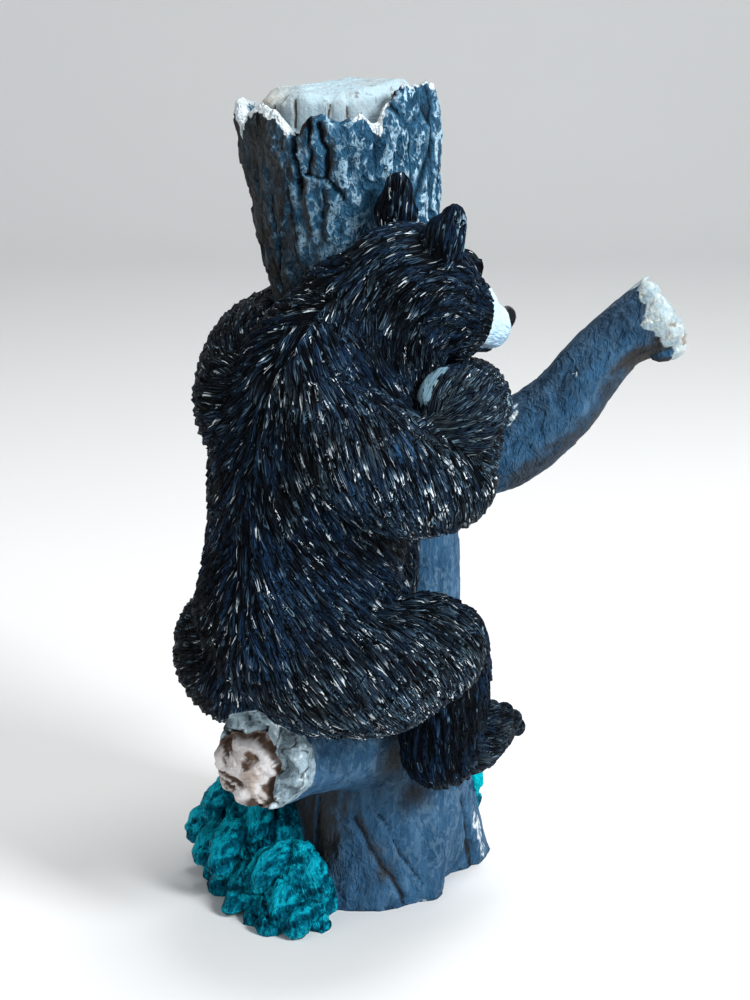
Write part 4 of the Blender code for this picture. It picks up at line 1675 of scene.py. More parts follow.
class Tree:
    """Short calls that add nodes to one node tree."""

    def __init__(self, tree: bpy.types.NodeTree) -> None:
        """Starts on a node tree."""
        self.tree = tree

    def plug(self, socket: Socket, value: Value) -> None:
        """Sets a socket to a value, or links it where the value is a socket."""
        if isinstance(value, Socket):
            self.tree.links.new(value, socket)
        else:
            socket.default_value = value

    def give(self, node: bpy.types.Node, **values: Value) -> bpy.types.Node:
        """Plugs values into a node's inputs by name, with _ for a space, and returns the node."""
        for name, value in values.items():
            self.plug(node.inputs[name.replace("_", " ")], value)
        return node

    def feed(self, node: bpy.types.Node, values: tuple, output: int | str = 0) -> Socket:
        """Plugs values into a node's inputs in their order, and returns one of its outputs."""
        for socket, value in zip(node.inputs, values):
            self.plug(socket, value)
        return node.outputs[output]

    def add(self, kind: str, settings: dict | None = None, **values: Value) -> bpy.types.Node:
        """Adds a node.

        Args:
            kind: The node's type, after its ShaderNode.
            settings: Its properties by name.
            **values: Its inputs by name, with _ for a space: a number, a tuple or a socket.

        Returns:
            The node.
        """
        node = self.tree.nodes.new("ShaderNode" + kind)
        for name, value in (settings or {}).items():
            setattr(node, name, value)
        return self.give(node, **values)

    def math(self, operation: str, *values: Value, clamp: bool = False) -> Socket:
        """An operation on numbers."""
        return self.feed(self.add("Math", {"operation": operation, "use_clamp": clamp}), values)

    def product(self, first: Value, *others: Value) -> Socket:
        """The product of numbers."""
        for value in others:
            first = self.math("MULTIPLY", first, value)
        return first

    def plus(self, first: Value, second: Value, times: Value = 1.0) -> Socket:
        """The first number plus the second one times a factor."""
        return self.math("MULTIPLY_ADD", second, times, first)

    def off(self, value: Value, middle: Value) -> Socket:
        """How far a number is from another."""
        return self.math("ABSOLUTE", self.math("SUBTRACT", value, middle))

    def vector(self, operation: str, *values: Value) -> Socket:
        """An operation on vectors; a dot product is a number."""
        node = self.add("VectorMath", {"operation": operation})
        return self.feed(node, values, "Value" if operation == "DOT_PRODUCT" else "Vector")

    def stretch(self, place: Value, size: Value) -> Socket:
        """A place in units of a feature's size, which is one number or one for each axis."""
        return self.vector("DIVIDE", place, (size,) * 3 if isinstance(size, float) else size)

    def ramp(self, value: Value, low: float, high: float, start: float = 0.0, end: float = 1.0) -> Socket:
        """Smooth rise from start at low to end at high."""
        node = self.add("MapRange", {"interpolation_type": "SMOOTHSTEP"})
        return self.feed(node, (value, low, high, start, end))

    def mix(self, share: Value, first: Value, second: Value) -> Socket:
        """A colour between two."""
        node = self.add("Mix", {"data_type": "RGBA"})
        for index, value in (0, share), (6, first), (7, second):
            self.plug(node.inputs[index], value)
        return node.outputs[2]

    def blend(self, share: Value, first: Value, second: Value) -> Socket:
        """A number between two."""
        node = self.add("Mix", {"data_type": "FLOAT"})
        for index, value in (0, share), (2, first), (3, second):
            self.plug(node.inputs[index], value)
        return node.outputs[0]

    def noise(
        self, place: Value, size: Value, detail: float = 3.0, roughness: float = 0.55, distortion: float = 0.0
    ) -> Socket:
        """Cloudy noise with features of a size."""
        place = self.stretch(place, size)
        shape = {"Scale": 1.0, "Detail": detail, "Roughness": roughness, "Distortion": distortion}
        return self.add("TexNoise", Vector=place, **shape).outputs[0]

    def bent(self, place: Value, scale: float, detail: float, reach: Triple) -> Socket:
        """A place moved by noise, up to a reach along each axis."""
        noise = self.add("TexNoise", Vector=place, Scale=scale, Detail=detail)
        return self.vector("MULTIPLY_ADD", noise.outputs["Color"], reach, place)

    def cells(self, place: Value, feature: str, dimensions: str, randomness: float) -> bpy.types.Node:
        """Irregular cells one unit across."""
        settings = {"voronoi_dimensions": dimensions, "feature": feature}
        return self.add("TexVoronoi", settings, Vector=place, Scale=1.0, Randomness=randomness)

    def parts(self, vector: Value) -> list[Socket]:
        """The three numbers of a vector."""
        return list(self.add("SeparateXYZ", Vector=vector).outputs)

    def attributes(self, *names: str) -> list[Socket]:
        """Some of the mesh's numbers."""
        return [self.add("Attribute", {"attribute_name": name}).outputs["Fac"] for name in names]

    def grain(self) -> Socket:
        """The place along and round the nearest form."""
        return self.add("Attribute", {"attribute_name": "grain"}).outputs["Vector"]

    def body(self) -> Socket:
        """The place in the figurine's own frame."""
        return self.add("TexCoord").outputs["Object"]

    def combed(self) -> Socket:
        """The place along and across the fur's strokes."""
        return self.add("UVMap", {"uv_map": "strokes"}).outputs[0]

    def group(self, effect: bpy.types.NodeTree, **values: Value) -> bpy.types.bpy_prop_collection:
        """The outputs of a shared effect."""
        return self.add("Group", {"node_tree": effect}, **values).outputs


def shared_effect(
    name: str, inputs: dict[str, str], outputs: tuple[str, ...]
) -> tuple[bpy.types.NodeTree, Tree, bpy.types.bpy_prop_collection, bpy.types.Node]:
    """A node group with named sockets.

    Args:
        name: The group's name.
        inputs: Socket types by name.
        outputs: Names; the one called Color is a colour, and the others are numbers.

    Returns:
        The group, its tree's helper, the sockets it is given, and its output node.
    """
    group = bpy.data.node_groups.new(name, "ShaderNodeTree")
    for label, kind in inputs.items():
        group.interface.new_socket(label, in_out="INPUT", socket_type="NodeSocket" + kind)
    for label in outputs:
        kind = "Color" if label == "Color" else "Float"
        group.interface.new_socket(label, in_out="OUTPUT", socket_type="NodeSocket" + kind)
    given = group.nodes.new("NodeGroupInput").outputs
    return group, Tree(group), given, group.nodes.new("NodeGroupOutput")


PLACED = {"Place": "Vector", "Size": "Vector"}


class Effects:
    """Shared shader effects, each built once."""

    def __init__(self) -> None:
        """Builds the groups."""
        self.strokes = self.build_strokes()
        self.crevices = self.build_crevices()
        self.dabs = self.build_dabs()
        self.facets = self.build_facets()
        self.rugged = self.build_rugged()

    def build_strokes(self) -> bpy.types.NodeTree:
        """Hairs cut side by side, as stretched cells.

        Returns:
            A group with Ridge, from 0 in long wandering grooves to 1; Round, the same over a hair's
            whole width; Tone, a number of each hair's own; Rise, from about -0.5 at its root to 0.5
            at its tip; and Line, 1 on thin lines beside the grooves.
        """
        outputs = ("Ridge", "Round", "Tone", "Rise", "Line")
        group, tree, given, made = shared_effect("Carved strokes", PLACED, outputs)
        scaled = tree.stretch(given["Place"], given["Size"])
        place = tree.bent(scaled, 0.7, 1.0, (0.3, 2.2, 0))
        edge = tree.cells(place, "DISTANCE_TO_EDGE", "2D", 0.85).outputs["Distance"]
        cell = tree.cells(place, "F1", "2D", 0.85).outputs
        here, middle = tree.parts(place), tree.parts(cell["Position"])
        grain = tree.noise(scaled, (1.55, 1.45, 1.0), 2.0, 0.5, 0.35)
        groove = tree.ramp(tree.off(grain, 0.5), 0.003, 0.045)
        wisp = tree.ramp(tree.off(grain, 0.585), 0.004, 0.024, 1.0, 0.0)
        side = tree.off(tree.math("SUBTRACT", here[1], middle[1]), 0.1)
        tree.give(
            made,
            Ridge=tree.product(tree.ramp(edge, 0.01, 0.12, 0.45, 1.0), groove),
            Round=tree.plus(tree.ramp(edge, 0.0, 0.42, 0.0, 0.55), groove, 0.55),
            Tone=tree.add("SeparateColor", Color=cell["Color"]).outputs[0],
            Rise=tree.math("SUBTRACT", here[0], middle[0]),
            Line=tree.math("MAXIMUM", wisp, tree.ramp(side, 0.04, 0.16, 0.6, 0.0)),
        )
        return group

    def build_crevices(self) -> bpy.types.NodeTree:
        """Dark wash that stays in low places."""
        inputs = {"Color": "Color", "Wash": "Color", "Level": "Float", "Strength": "Float"}
        group, tree, given, made = shared_effect("Wash in crevices", inputs, ("Color",))
        low = tree.ramp(given["Level"], 0.05, 0.5, 1.0, 0.0)
        share = tree.math("MULTIPLY", low, given["Strength"], clamp=True)
        tree.give(made, Color=tree.mix(share, given["Color"], given["Wash"]))
        return group

    def build_dabs(self) -> bpy.types.NodeTree:
        """Paint dabbed on in three tones, with the height of its dabs."""
        inputs = {**PLACED, "Dark": "Color", "Middle": "Color", "Light": "Color"}
        group, tree, given, made = shared_effect("Dabbed paint", inputs, ("Color", "Height"))
        scaled = tree.stretch(given["Place"], given["Size"])
        broad = tree.noise(scaled, 1.0, 4.0, 0.6, 0.6)
        fine = tree.noise(tree.vector("MULTIPLY", scaled, (3.1,) * 3), 1.0, 3.0, 0.6, 0.3)
        both = tree.plus(tree.product(broad, 0.75), fine, 0.25)
        ground = tree.mix(tree.ramp(broad, 0.36, 0.56), given["Dark"], given["Middle"])
        tree.give(made, Color=tree.mix(tree.ramp(both, 0.56, 0.66), ground, given["Light"]), Height=fine)
        return group

    def build_facets(self) -> bpy.types.NodeTree:
        """Flat facets tilted at random.

        Returns:
            A group with Tone, a number of each facet's own; Height, the way from its middle dotted
            with its tilt; and Facing, how far it faces right and up toward the light, from -0.5 to 0.5, for
            painted light.
        """
        outputs = ("Tone", "Height", "Facing")
        group, tree, given, made = shared_effect("Chiselled facets", PLACED, outputs)
        place = tree.bent(tree.stretch(given["Place"], given["Size"]), 1.3, 2.0, (0.8,) * 3)
        cell = tree.cells(place, "F1", "3D", 1.0).outputs
        tilt = tree.vector("SUBTRACT", cell["Color"], (0.5,) * 3)
        tree.give(
            made,
            Tone=tree.add("SeparateColor", Color=cell["Color"]).outputs[0],
            Height=tree.vector("DOT_PRODUCT", tree.vector("SUBTRACT", place, cell["Position"]), tilt),
            Facing=tree.vector("DOT_PRODUCT", tilt, (-0.85, 0.1, -0.5)),
        )
        return group

    def build_rugged(self) -> bpy.types.NodeTree:
        """Wandering crests at two sizes.

        Returns:
            A group with Height, a weighted sum of 1 less five times the distance of two noises
            from their middle, 1 along the crests.
        """
        group, tree, given, made = shared_effect("Rugged crests", PLACED, ("Height",))
        scaled = tree.stretch(given["Place"], given["Size"])
        heights = [
            tree.plus(weight, tree.off(tree.noise(scaled, size, 2.0, 0.5, 0.7), 0.5), -5.0 * weight)
            for size, weight in ((1.0, 0.62), (0.37, 0.38))
        ]
        tree.give(made, Height=tree.plus(*heights))
        return group


@dataclass(frozen=True)
class Coating:
    """What a finish gives the shader: colour, roughness and bump height in metres."""

    colour: Socket
    roughness: Value
    height: Value


def opaque(red: float, green: float, blue: float) -> Colour:
    """A colour in linear light with full alpha."""
    return (red, green, blue, 1.0)


class Finish:
    """A way of painting one kind of surface."""

    def lay(self, tree: Tree, effects: Effects) -> Coating:
        """Adds the finish's nodes.

        Args:
            tree: The material's nodes.
            effects: The shared effects.

        Returns:
            The finish's colour, roughness and bump height.
        """
        raise NotImplementedError


@dataclass(frozen=True)
class FurPaint(Finish):
    """Black paint over carved strokes with blue-grey ridges; pale lines and tip specks are partly painted
    highlight.
    """

    stroke: Triple = (0.0066, 0.00094, 1.0)
    groove: Colour = opaque(0.0004, 0.0006, 0.0010)
    ridge: Colour = opaque(0.0034, 0.0072, 0.0130)
    blue: Colour = opaque(0.0055, 0.0260, 0.0700)
    glaze: Colour = opaque(0.028, 0.105, 0.250)
    grey: Colour = opaque(0.048, 0.066, 0.076)
    # Pale of the lines beside the grooves: dry-brush paint and painted highlight.
    crest_and_highlight: Colour = opaque(0.160, 0.280, 0.380)
    # Near-white of the specks on some tips: painted highlight in place of gloss, partly pale paint.
    speck_and_glint: Colour = opaque(0.80, 0.88, 0.92)
    # Brown of the painted warm shade on the fur's side away from the light.
    brown: Colour = opaque(0.0085, 0.0062, 0.0048)
    # Pale blue of the rubbed paint and of the painted eye glint.
    wear_and_glint: Colour = opaque(0.17, 0.29, 0.37)
    depth: float = 0.00042

    def lay(self, tree: Tree, effects: Effects) -> Coating:
        """Adds the finish's nodes."""
        place, body = tree.combed(), tree.body()
        hair = tree.group(effects.strokes, Place=place, Size=self.stroke)
        ridge, tone, rise = hair["Ridge"], hair["Tone"], hair["Rise"]
        level, left, grey, lock, sheen = tree.attributes("level", "left", "grey", "tone", "sheen")
        glaze, wear_and_glint = tree.attributes("glaze", "wear_and_glint")
        hairs = tree.ramp(tree.noise(place, (0.005, 0.00042, 1.0), 2.0), 0.35, 0.65)
        patches = tree.ramp(tree.noise(body, (0.014, 0.014, 0.020), 2.0), 0.36, 0.56)
        bluish = tree.product(patches, tree.ramp(tone, 0.1, 0.9, 0.5, 1.0))
        ground = tree.mix(bluish, self.ridge, self.blue)
        ground = tree.mix(tree.product(glaze, ridge), ground, self.glaze)
        brush_and_light = tree.product(grey, tree.ramp(tone, 0.3, 1.0, 0.1, 1.0), tree.ramp(hairs, 0, 1, 0.3, 1.0))
        ground = tree.mix(brush_and_light, ground, self.grey)
        # Painted warm shade: brown on the side away from the light.
        ground = tree.mix(tree.product(left, 0.85), ground, self.brown)
        deep = tree.product(ridge, tree.ramp(level, 0.02, 0.5, 0.15, 1.0), tree.ramp(hairs, 0, 1, 0.4, 1.0))
        colour = tree.mix(deep, self.groove, ground)
        quiet = tree.noise(body, (0.010, 0.010, 0.012), 2.0)
        # Pale lines beside the grooves, partly dry-brush paint and partly painted highlight: toward the
        # strokes' tips, weaker on the shaded side, stronger with the painted sheen.
        crest_and_highlight = tree.product(
            hair["Line"], ridge, tree.ramp(rise, -0.45, 0.2, 0.1, 1.0), tree.ramp(left, 0.2, 0.8, 1.0, 0.25),
            tree.ramp(quiet, 0.36, 0.56, 0.4, 1.0),
        )
        light = tree.plus(tone, tree.product(tree.plus(lock, grey), 0.25))
        light = tree.ramp(tree.plus(light, sheen, 0.3), 0.35, 1.25, 0.02, 1.0)
        colour = tree.mix(tree.product(crest_and_highlight, light), colour, self.crest_and_highlight)
        # Painted highlight: near-white specks on the tips of some strokes, partly pale paint.
        tips = tree.ramp(tree.plus(tree.plus(tone, grey, 0.10), sheen, 0.30), 0.78, 0.86)
        tips = tree.product(tips, tree.ramp(rise, -0.15, 0.0), tree.ramp(lock, 0.40, 0.55))
        tips = tree.product(tree.math("MULTIPLY", crest_and_highlight, 1.6, clamp=True), tips)
        colour = tree.mix(tips, colour, self.speck_and_glint)
        # Rubbed paint, and the painted glint on the eye, in pale blue.
        fingers = tree.math("SUBTRACT", tree.noise(place, (0.010, 0.0013, 1.0), 1.0), 0.5)
        rubbed = tree.plus(wear_and_glint, tree.plus(tree.noise(body, 0.0020), fingers, 2.4))
        rubbed = tree.product(tree.ramp(rubbed, 1.02, 1.20), tree.ramp(ridge, 0.2, 0.7, 0.3, 1.0))
        colour = tree.mix(rubbed, colour, self.wear_and_glint)
        bump = tree.product(hair["Round"], tree.plus(tree.plus(0.8, rise, 0.5), hairs, 0.25))
        bump = tree.product(bump, tree.ramp(rubbed, 0, 1, 1.0, 0.3), self.depth)
        return Coating(colour, tree.ramp(ridge, 0.0, 1.0, 0.7, 0.45), bump)


@dataclass(frozen=True)
class BarkPaint(Finish):
    """Blue-grey dabbed paint with dark cracks; painted light to the right; brown painted shade, partly a
    wash, on -X.
    """

    dab: Triple = (0.0065, 0.0065, 0.0110)
    facet: Triple = (0.0030, 0.0030, 0.0052)
    crests: Triple = (0.0044, 0.0044, 0.0072)
    dark: Colour = opaque(0.008, 0.034, 0.070)
    middle: Colour = opaque(0.036, 0.124, 0.222)
    light: Colour = opaque(0.050, 0.140, 0.240)
    slate: Colour = opaque(0.020, 0.062, 0.124)
    sheen: Colour = opaque(0.038, 0.108, 0.205)
    # Pale of the dry-brush on the crests and of the painted light on facets that face the light.
    edge: Colour = opaque(0.40, 0.60, 0.74)
    # Brown of the painted shade on the -X side, partly a wash, and of the wash in the smooth bark's cracks.
    brown: Colour = opaque(0.036, 0.034, 0.030)
    crack: Colour = opaque(0.003, 0.004, 0.006)
    rim: Colour = opaque(0.66, 0.74, 0.78)

    def lay(self, tree: Tree, effects: Effects) -> Coating:
        """Adds the finish's nodes."""
        body, grain = tree.body(), tree.grain()
        level, left, right, calm = tree.attributes("level", "left", "right", "calm")
        tones = {"Dark": self.dark, "Middle": self.middle, "Light": self.light}
        dabs = tree.group(effects.dabs, Place=body, Size=self.dab, **tones)
        facets = tree.group(effects.facets, Place=body, Size=self.facet)
        rise = tree.group(effects.rugged, Place=body, Size=self.crests)[0]
        depth = tree.plus(tree.product(facets["Tone"], 0.2), tree.ramp(rise, 0.2, 0.85), 0.8)
        colour = tree.mix(0.65, dabs["Color"], tree.mix(depth, self.dark, self.middle))
        smear = tree.ramp(tree.noise(grain, (0.011, 0.0035, 0.0035)), 0.3, 0.7)
        smooth = tree.mix(smear, self.slate, self.sheen)
        colour = tree.mix(tree.ramp(calm, 0.1, 0.8, 0.0, 0.92), colour, smooth)
        # Painted warm shade, partly a brown wash: brown in patches on the side away from the light.
        patch = tree.ramp(tree.noise(body, (0.016, 0.016, 0.03)), 0.35, 0.6)
        brown = tree.product(left, tree.ramp(patch, 0, 1, 0.75, 1.0))
        colour = tree.mix(tree.math("MULTIPLY", brown, 0.95, clamp=True), colour, self.brown)
        ragged = tree.noise(body, (0.0018, 0.0018, 0.0026))
        # Pale dry-brush on the rugged crests, with painted light on facets that face the light and on the
        # right-facing side; little on the shaded side and on smooth bark.
        brush_and_light = tree.plus(rise, tree.plus(tree.product(facets["Facing"], 0.4), ragged, 0.6))
        brush_and_light = tree.product(
            tree.ramp(brush_and_light, 0.90, 1.18), tree.ramp(level, 0.4, 0.9), tree.plus(0.42, right, 0.80),
            tree.ramp(left, 0.2, 0.9, 1.0, 0.15), tree.ramp(calm, 0.2, 0.8, 1.0, 0.10),
        )
        colour = tree.mix(brush_and_light, colour, self.edge)
        wash = tree.mix(tree.product(calm, 0.6), self.crack, self.brown)
        colour = tree.group(effects.crevices, Color=colour, Wash=wash, Level=level, Strength=0.95)[0]
        # Dark streaks along the grain, strongest on the side in painted shade.
        streaks = tree.product(
            tree.ramp(tree.noise(grain, (0.016, 0.0016, 0.0016)), 0.56, 0.66),
            tree.ramp(left, 0.1, 0.7, 0.15, 0.85), tree.ramp(calm, 0.2, 0.8, 1.0, 0.4),
        )
        colour = tree.mix(streaks, colour, self.crack)
        rim = tree.plus(tree.math("MAXIMUM", *tree.attributes("tips", "wear_and_glint")), ragged)
        colour = tree.mix(tree.ramp(rim, 1.02, 1.2), colour, self.rim)
        streak = tree.product(tree.noise(grain, (0.006, 0.0009, 0.0009)), 0.0002)
        height = tree.plus(tree.plus(streak, facets["Height"], 0.0014), rise, 0.0015)
        height = tree.product(height, tree.ramp(calm, 0, 1, 1.0, 0.4))
        return Coating(colour, tree.ramp(dabs["Height"], 0.3, 0.7, 0.62, 0.42), height)


@dataclass(frozen=True)
class WoodPaint(Finish):
    """Pale broken wood: bluish on the core, pinkish with brown folds on the ends, in a ring of bark."""

    pale: Colour = opaque(0.38, 0.50, 0.56)
    # Cream of the painted warm shade on the core's -X side.
    cream: Colour = opaque(0.46, 0.42, 0.36)
    pink: Colour = opaque(0.62, 0.60, 0.61)
    tan: Colour = opaque(0.30, 0.22, 0.16)
    brown: Colour = opaque(0.075, 0.042, 0.026)
    ring_dark: Colour = opaque(0.100, 0.140, 0.165)
    ring_mid: Colour = opaque(0.30, 0.40, 0.46)
    ring_light: Colour = opaque(0.66, 0.76, 0.80)
    chalk: Colour = opaque(0.40, 0.48, 0.49)
    white: Colour = opaque(0.76, 0.82, 0.79)
    black: Colour = opaque(0.010, 0.010, 0.011)
    core_foot: float = 0.195

    def lay(self, tree: Tree, effects: Effects) -> Coating:
        """Adds the finish's nodes; the core lies above core_foot, and the ends below it."""
        body = tree.body()
        broad = tree.noise(body, 0.006)
        lines = tree.noise(body, (0.0020, 0.0020, 0.03))
        level, ring, cream = tree.attributes("level", "ring", "cream")
        x, _, z = tree.parts(body)
        high = tree.ramp(z, self.core_foot, self.core_foot + 0.010)
        # Painted warm shade: the core's -X side, away from the light, turns cream.
        left = tree.ramp(tree.plus(x, broad, 0.02), -0.024, -0.008, 1.0, 0.0)
        core = tree.mix(tree.product(left, 0.85), self.pale, self.cream)
        stain = tree.product(tree.ramp(broad, 0.45, 0.7), tree.ramp(high, 0, 1, 0.7, 0.35))
        colour = tree.mix(stain, tree.mix(high, self.pink, core), self.tan)
        valley = tree.ramp(level, 0.12, 0.62, 1.0, 0.0)
        seams = tree.product(tree.ramp(lines, 0.58, 0.70), tree.ramp(high, 0, 1, 0.2, 0.55))
        colour = tree.mix(tree.math("MAXIMUM", tree.product(valley, 0.95), seams), colour, self.brown)
        tones = {"Dark": self.ring_dark, "Middle": self.ring_mid, "Light": self.ring_light}
        dabs = tree.group(effects.dabs, Place=body, Size=(0.0036,) * 3, **tones)
        shell = tree.mix(tree.ramp(level, 0.25, 0.55), self.black, dabs["Color"])
        colour = tree.mix(tree.ramp(ring, 0.3, 0.7), colour, shell)
        tones = {"Dark": self.ring_mid, "Middle": self.chalk, "Light": self.white}
        chalk = tree.group(effects.dabs, Place=body, Size=(0.0030,) * 3, **tones)[0]
        chalk = tree.mix(tree.product(valley, 0.85), chalk, self.tan)
        colour = tree.mix(cream, colour, chalk)
        height = tree.product(tree.plus(lines, dabs["Height"]), 0.0005)
        return Coating(colour, tree.ramp(broad, 0.3, 0.7, 0.65, 0.5), height)


@dataclass(frozen=True)
class LeafPaint(Finish):
    """Teal paint, dark in the folds, with turquoise painted highlight on the ridges; the sprig is brighter.
    """

    fold: Triple = (0.0052, 0.0024, 0.0040)
    teal: Colour = opaque(0.0, 0.110, 0.180)
    dark: Colour = opaque(0.0, 0.016, 0.030)
    # Turquoise of the painted highlight on the leaves' ridges.
    turquoise_highlight: Colour = opaque(0.004, 0.440, 0.580)
    lit: Colour = opaque(0.0, 0.56, 0.66)
    depth: float = 0.0010

    def lay(self, tree: Tree, effects: Effects) -> Coating:
        """Adds the finish's nodes; the sprig is where both x and z are above 2 cm."""
        body = tree.body()
        level, = tree.attributes("level")
        rise = tree.group(effects.rugged, Place=tree.grain(), Size=self.fold)[0]
        broad = tree.noise(body, 0.005)
        both = tree.plus(tree.product(rise, 0.45), level, 0.55)
        # Painted highlight: turquoise along the leaves' ridges.
        crest_and_highlight = tree.product(tree.ramp(both, 0.56, 0.80), tree.ramp(broad, 0.35, 0.6, 0.5, 1.0))
        colour = tree.mix(tree.ramp(both, 0.30, 0.62), self.dark, self.teal)
        colour = tree.mix(crest_and_highlight, colour, self.turquoise_highlight)
        x, _, z = tree.parts(body)
        sprig = tree.product(tree.ramp(x, 0.020, 0.026, 0.0, 0.8), tree.ramp(z, 0.020, 0.024))
        colour = tree.mix(sprig, colour, self.lit)
        return Coating(colour, tree.ramp(rise, 0.3, 0.8, 0.5, 0.34), tree.product(rise, self.depth))


@dataclass(frozen=True)
class MuzzlePaint(Finish):
    """Near-white paint with fine pale-blue strokes, bluer below the mouth's height."""

    stroke: Triple = (0.0070, 0.0007, 1.0)
    white: Colour = opaque(0.52, 0.70, 0.78)
    blue: Colour = opaque(0.16, 0.27, 0.42)
    depth: float = 0.00025

    def lay(self, tree: Tree, effects: Effects) -> Coating:
        """Adds the finish's nodes."""
        fine = tree.noise(tree.combed(), self.stroke, 2.0)
        low = tree.ramp(tree.parts(tree.body())[2], 0.168, 0.179, 0.20, 0.0)
        share = tree.ramp(tree.math("SUBTRACT", fine, low), 0.22, 0.50)
        return Coating(tree.mix(share, self.blue, self.white), 0.5, tree.product(fine, self.depth))


@dataclass(frozen=True)
class PaintedCeramic:
    """The whole paint scheme under one satin varnish."""

    fur: FurPaint = FurPaint()
    bark: BarkPaint = BarkPaint()
    wood: WoodPaint = WoodPaint()
    leaf: LeafPaint = LeafPaint()
    muzzle: MuzzlePaint = MuzzlePaint()
    black: Colour = opaque(0.004, 0.004, 0.005)
    # Near-black of the face lines, the toe clefts and the painted shade in the palm's crease.
    line: Colour = opaque(0.010, 0.009, 0.009)

    def material(self, effects: Effects) -> bpy.types.Material:
        """The material.

        Args:
            effects: The shared effects.

        Returns:
            One material in which the painted areas meet along ragged borders.
        """
        made = bpy.data.materials.new("painted_ceramic")
        made.use_nodes = True
        made.node_tree.nodes.clear()
        tree = Tree(made.node_tree)
        ragged = tree.product(tree.math("SUBTRACT", tree.noise(tree.body(), 0.0022), 0.5), 0.6)
        coating = self.bark.lay(tree, effects)
        layers = (
            ("wood", self.wood, 0.35, 0.65),
            ("leaf", self.leaf, 0.42, 0.58),
            ("fur", self.fur, 0.44, 0.56),
            ("pale", self.muzzle, 0.4, 0.6),
        )
        for name, finish, low, high in layers:
            over = finish.lay(tree, effects)
            share = tree.ramp(tree.plus(*tree.attributes(name), ragged), low, high)
            coating = Coating(
                tree.mix(share, coating.colour, over.colour),
                tree.blend(share, coating.roughness, over.roughness),
                tree.blend(share, coating.height, over.height),
            )
        dark, gloss = tree.attributes("dark", "gloss")
        gloss = tree.ramp(gloss, 0.3, 0.6)
        colour = tree.mix(tree.product(dark, 0.9), coating.colour, self.line)
        bump = tree.add("Bump", Height=tree.blend(gloss, coating.height, 0.0), Strength=1.0, Distance=1.0)
        shader = tree.add(
            "BsdfPrincipled", Base_Color=tree.mix(gloss, colour, self.black),
            Roughness=tree.blend(gloss, coating.roughness, 0.16), Normal=bump.outputs[0],
            Specular_IOR_Level=0.03, Coat_Weight=tree.product(gloss, 0.8), Coat_Roughness=0.12,
        )
        tree.add("OutputMaterial", Surface=shader.outputs[0])
        return made


@dataclass(frozen=True)
class Lamp:
    """A soft rectangular light aimed at the figurine."""

    name: str
    place: Triple
    size: float
    power: float
    colour: Triple = (1.0, 1.0, 1.0)

    def build(self, target: Vector) -> None:
        """Adds the light."""
        data = bpy.data.lights.new(self.name, "AREA")
        data.size = self.size
        data.energy = self.power
        data.color = self.colour
        lamp = bpy.data.objects.new(self.name, data)
        lamp.location = self.place
        lamp.rotation_euler = (target - lamp.location).to_track_quat("-Z", "Y").to_euler()
        bpy.context.scene.collection.objects.link(lamp)


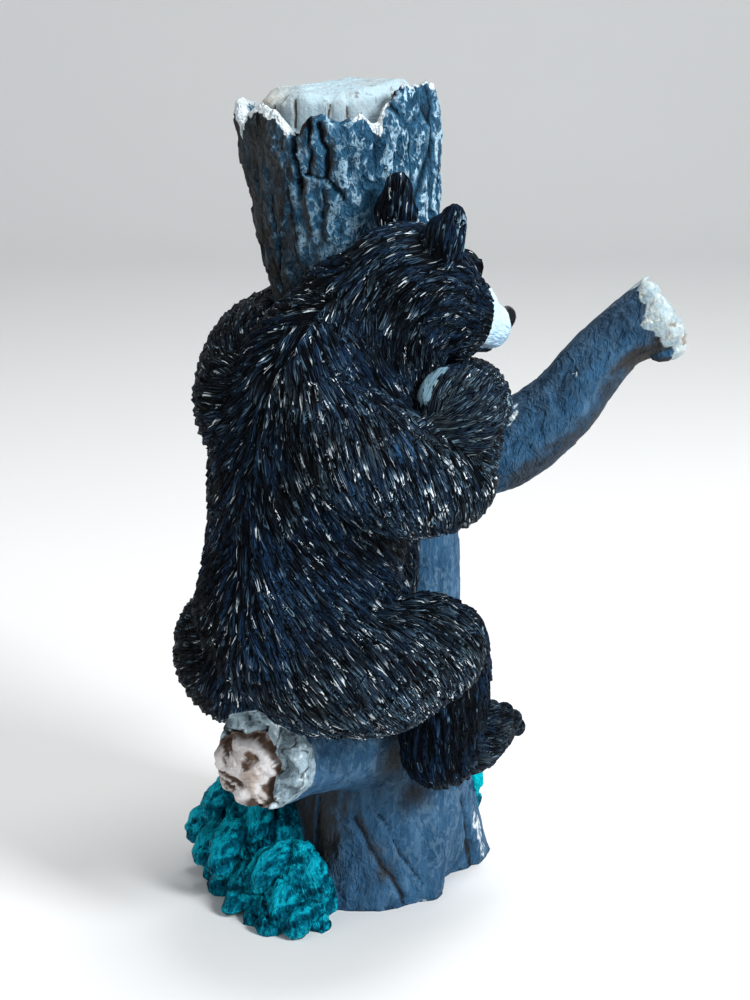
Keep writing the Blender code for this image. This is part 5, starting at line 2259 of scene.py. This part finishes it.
@dataclass(frozen=True)
class Studio:
    """Camera at the photograph's angle, a pale floor that curves up behind, and soft light.

    Attributes:
        target: The point that the camera looks at.
        pitch: The camera's angle above the level, in degrees.
        distance: From the camera to the target.
        focal_share: Focal length as a share of the picture's height.
    """

    target: Triple = (0, 0, 0.117)
    pitch: float = 16.0
    distance: float = 0.641
    focal_share: float = 2.2
    sensor: float = 36.0
    floor_front: float = -1.6
    floor_back: float = 1.1
    half_width: float = 2.2
    curve: float = 0.6
    wall: float = 2.0
    lamps: tuple[Lamp, ...] = (
        Lamp("key", (0.85, -0.75, 0.85), 0.4, 20.0, (0.95, 0.98, 1.0)),
        Lamp("fill", (-0.95, -0.8, 0.5), 1.0, 3.5, (1.0, 0.94, 0.88)),
        Lamp("top", (0.15, 0.1, 1.1), 0.5, 7.0),
    )

    def camera(self) -> None:
        """Adds the camera; its lens follows from the picture's longer side."""
        data = bpy.data.cameras.new("camera")
        data.sensor_width = self.sensor
        data.sensor_fit = "AUTO"
        data.lens = self.focal_share * self.sensor
        data.clip_start = 0.01
        eye = bpy.data.objects.new("camera", data)
        pitch = math.radians(self.pitch)
        target = Vector(self.target)
        eye.location = target + self.distance * Vector((0, -math.cos(pitch), math.sin(pitch)))
        eye.rotation_euler = (math.pi / 2 - pitch, 0, 0)
        bpy.context.scene.collection.objects.link(eye)
        bpy.context.scene.camera = eye

    def backdrop(self) -> bpy.types.Object:
        """A floor that runs up a quarter circle into a wall, the same all along X."""
        turn = np.linspace(0, math.pi / 2, 24)
        level, upright = np.zeros(12), np.full(6, self.floor_back + self.curve)
        y = np.concatenate([
            np.linspace(self.floor_front, self.floor_back, len(level)),
            self.floor_back + self.curve * np.sin(turn), upright,
        ])
        z = np.concatenate([
            level, self.curve * (1 - np.cos(turn)), np.linspace(self.curve, self.wall, len(upright)),
        ])
        x = np.linspace(-self.half_width, self.half_width, 9)
        grid = columns(x, y[:, None], z[:, None])
        index = np.arange(grid[..., 0].size).reshape(grid.shape[:2])
        faces = np.stack([index[:-1, :-1], index[:-1, 1:], index[1:, 1:], index[1:, :-1]], axis=-1)
        mesh = write_mesh("floor", grid.reshape(-1, 3), faces.reshape(-1, 4))
        mesh.shade_smooth()
        mesh.materials.append(self.floor_material())
        floor = bpy.data.objects.new("floor", mesh)
        bpy.context.scene.collection.objects.link(floor)
        return floor

    def floor_material(self) -> bpy.types.Material:
        """Pale matt paper with a faint unevenness."""
        made = bpy.data.materials.new("pale_floor")
        made.use_nodes = True
        tree = Tree(made.node_tree)
        shader = made.node_tree.nodes["Principled BSDF"]
        cloud = tree.noise(tree.body(), 0.5, 2.0)
        colour = tree.mix(cloud, opaque(0.84, 0.84, 0.83), opaque(0.88, 0.88, 0.88))
        tree.give(shader, Base_Color=colour, Roughness=0.9)
        return made

    def build(self) -> None:
        """Adds the camera, the floor and the lights."""
        self.camera()
        self.backdrop()
        for lamp in self.lamps:
            lamp.build(Vector(self.target))
        world = bpy.data.worlds.new("studio")
        world.use_nodes = True
        world.node_tree.nodes["Background"].inputs[0].default_value = (0.9, 0.95, 1.0, 1)
        world.node_tree.nodes["Background"].inputs[1].default_value = 0.3
        bpy.context.scene.world = world
        bpy.context.scene.view_settings.view_transform = "Standard"


def corners(bounds: Iterable[Iterable[float]]) -> list[list[float]]:
    """A box's two corners as plain lists."""
    return [[float(value) for value in corner] for corner in bounds]


def main() -> None:
    """Builds the scene."""
    logging.basicConfig(level=logging.INFO, format="%(message)s")
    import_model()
    Studio().build()
    casting = Casting()
    sculptor = Sculptor(casting, Carver(casting))
    figure = sculptor.sculpt("painted_bear_casting")
    figure.data.materials.append(PaintedCeramic().material(Effects()))
    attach(figure, "root")
    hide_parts("bear_figurine")


if __name__ == "__main__":
    main()
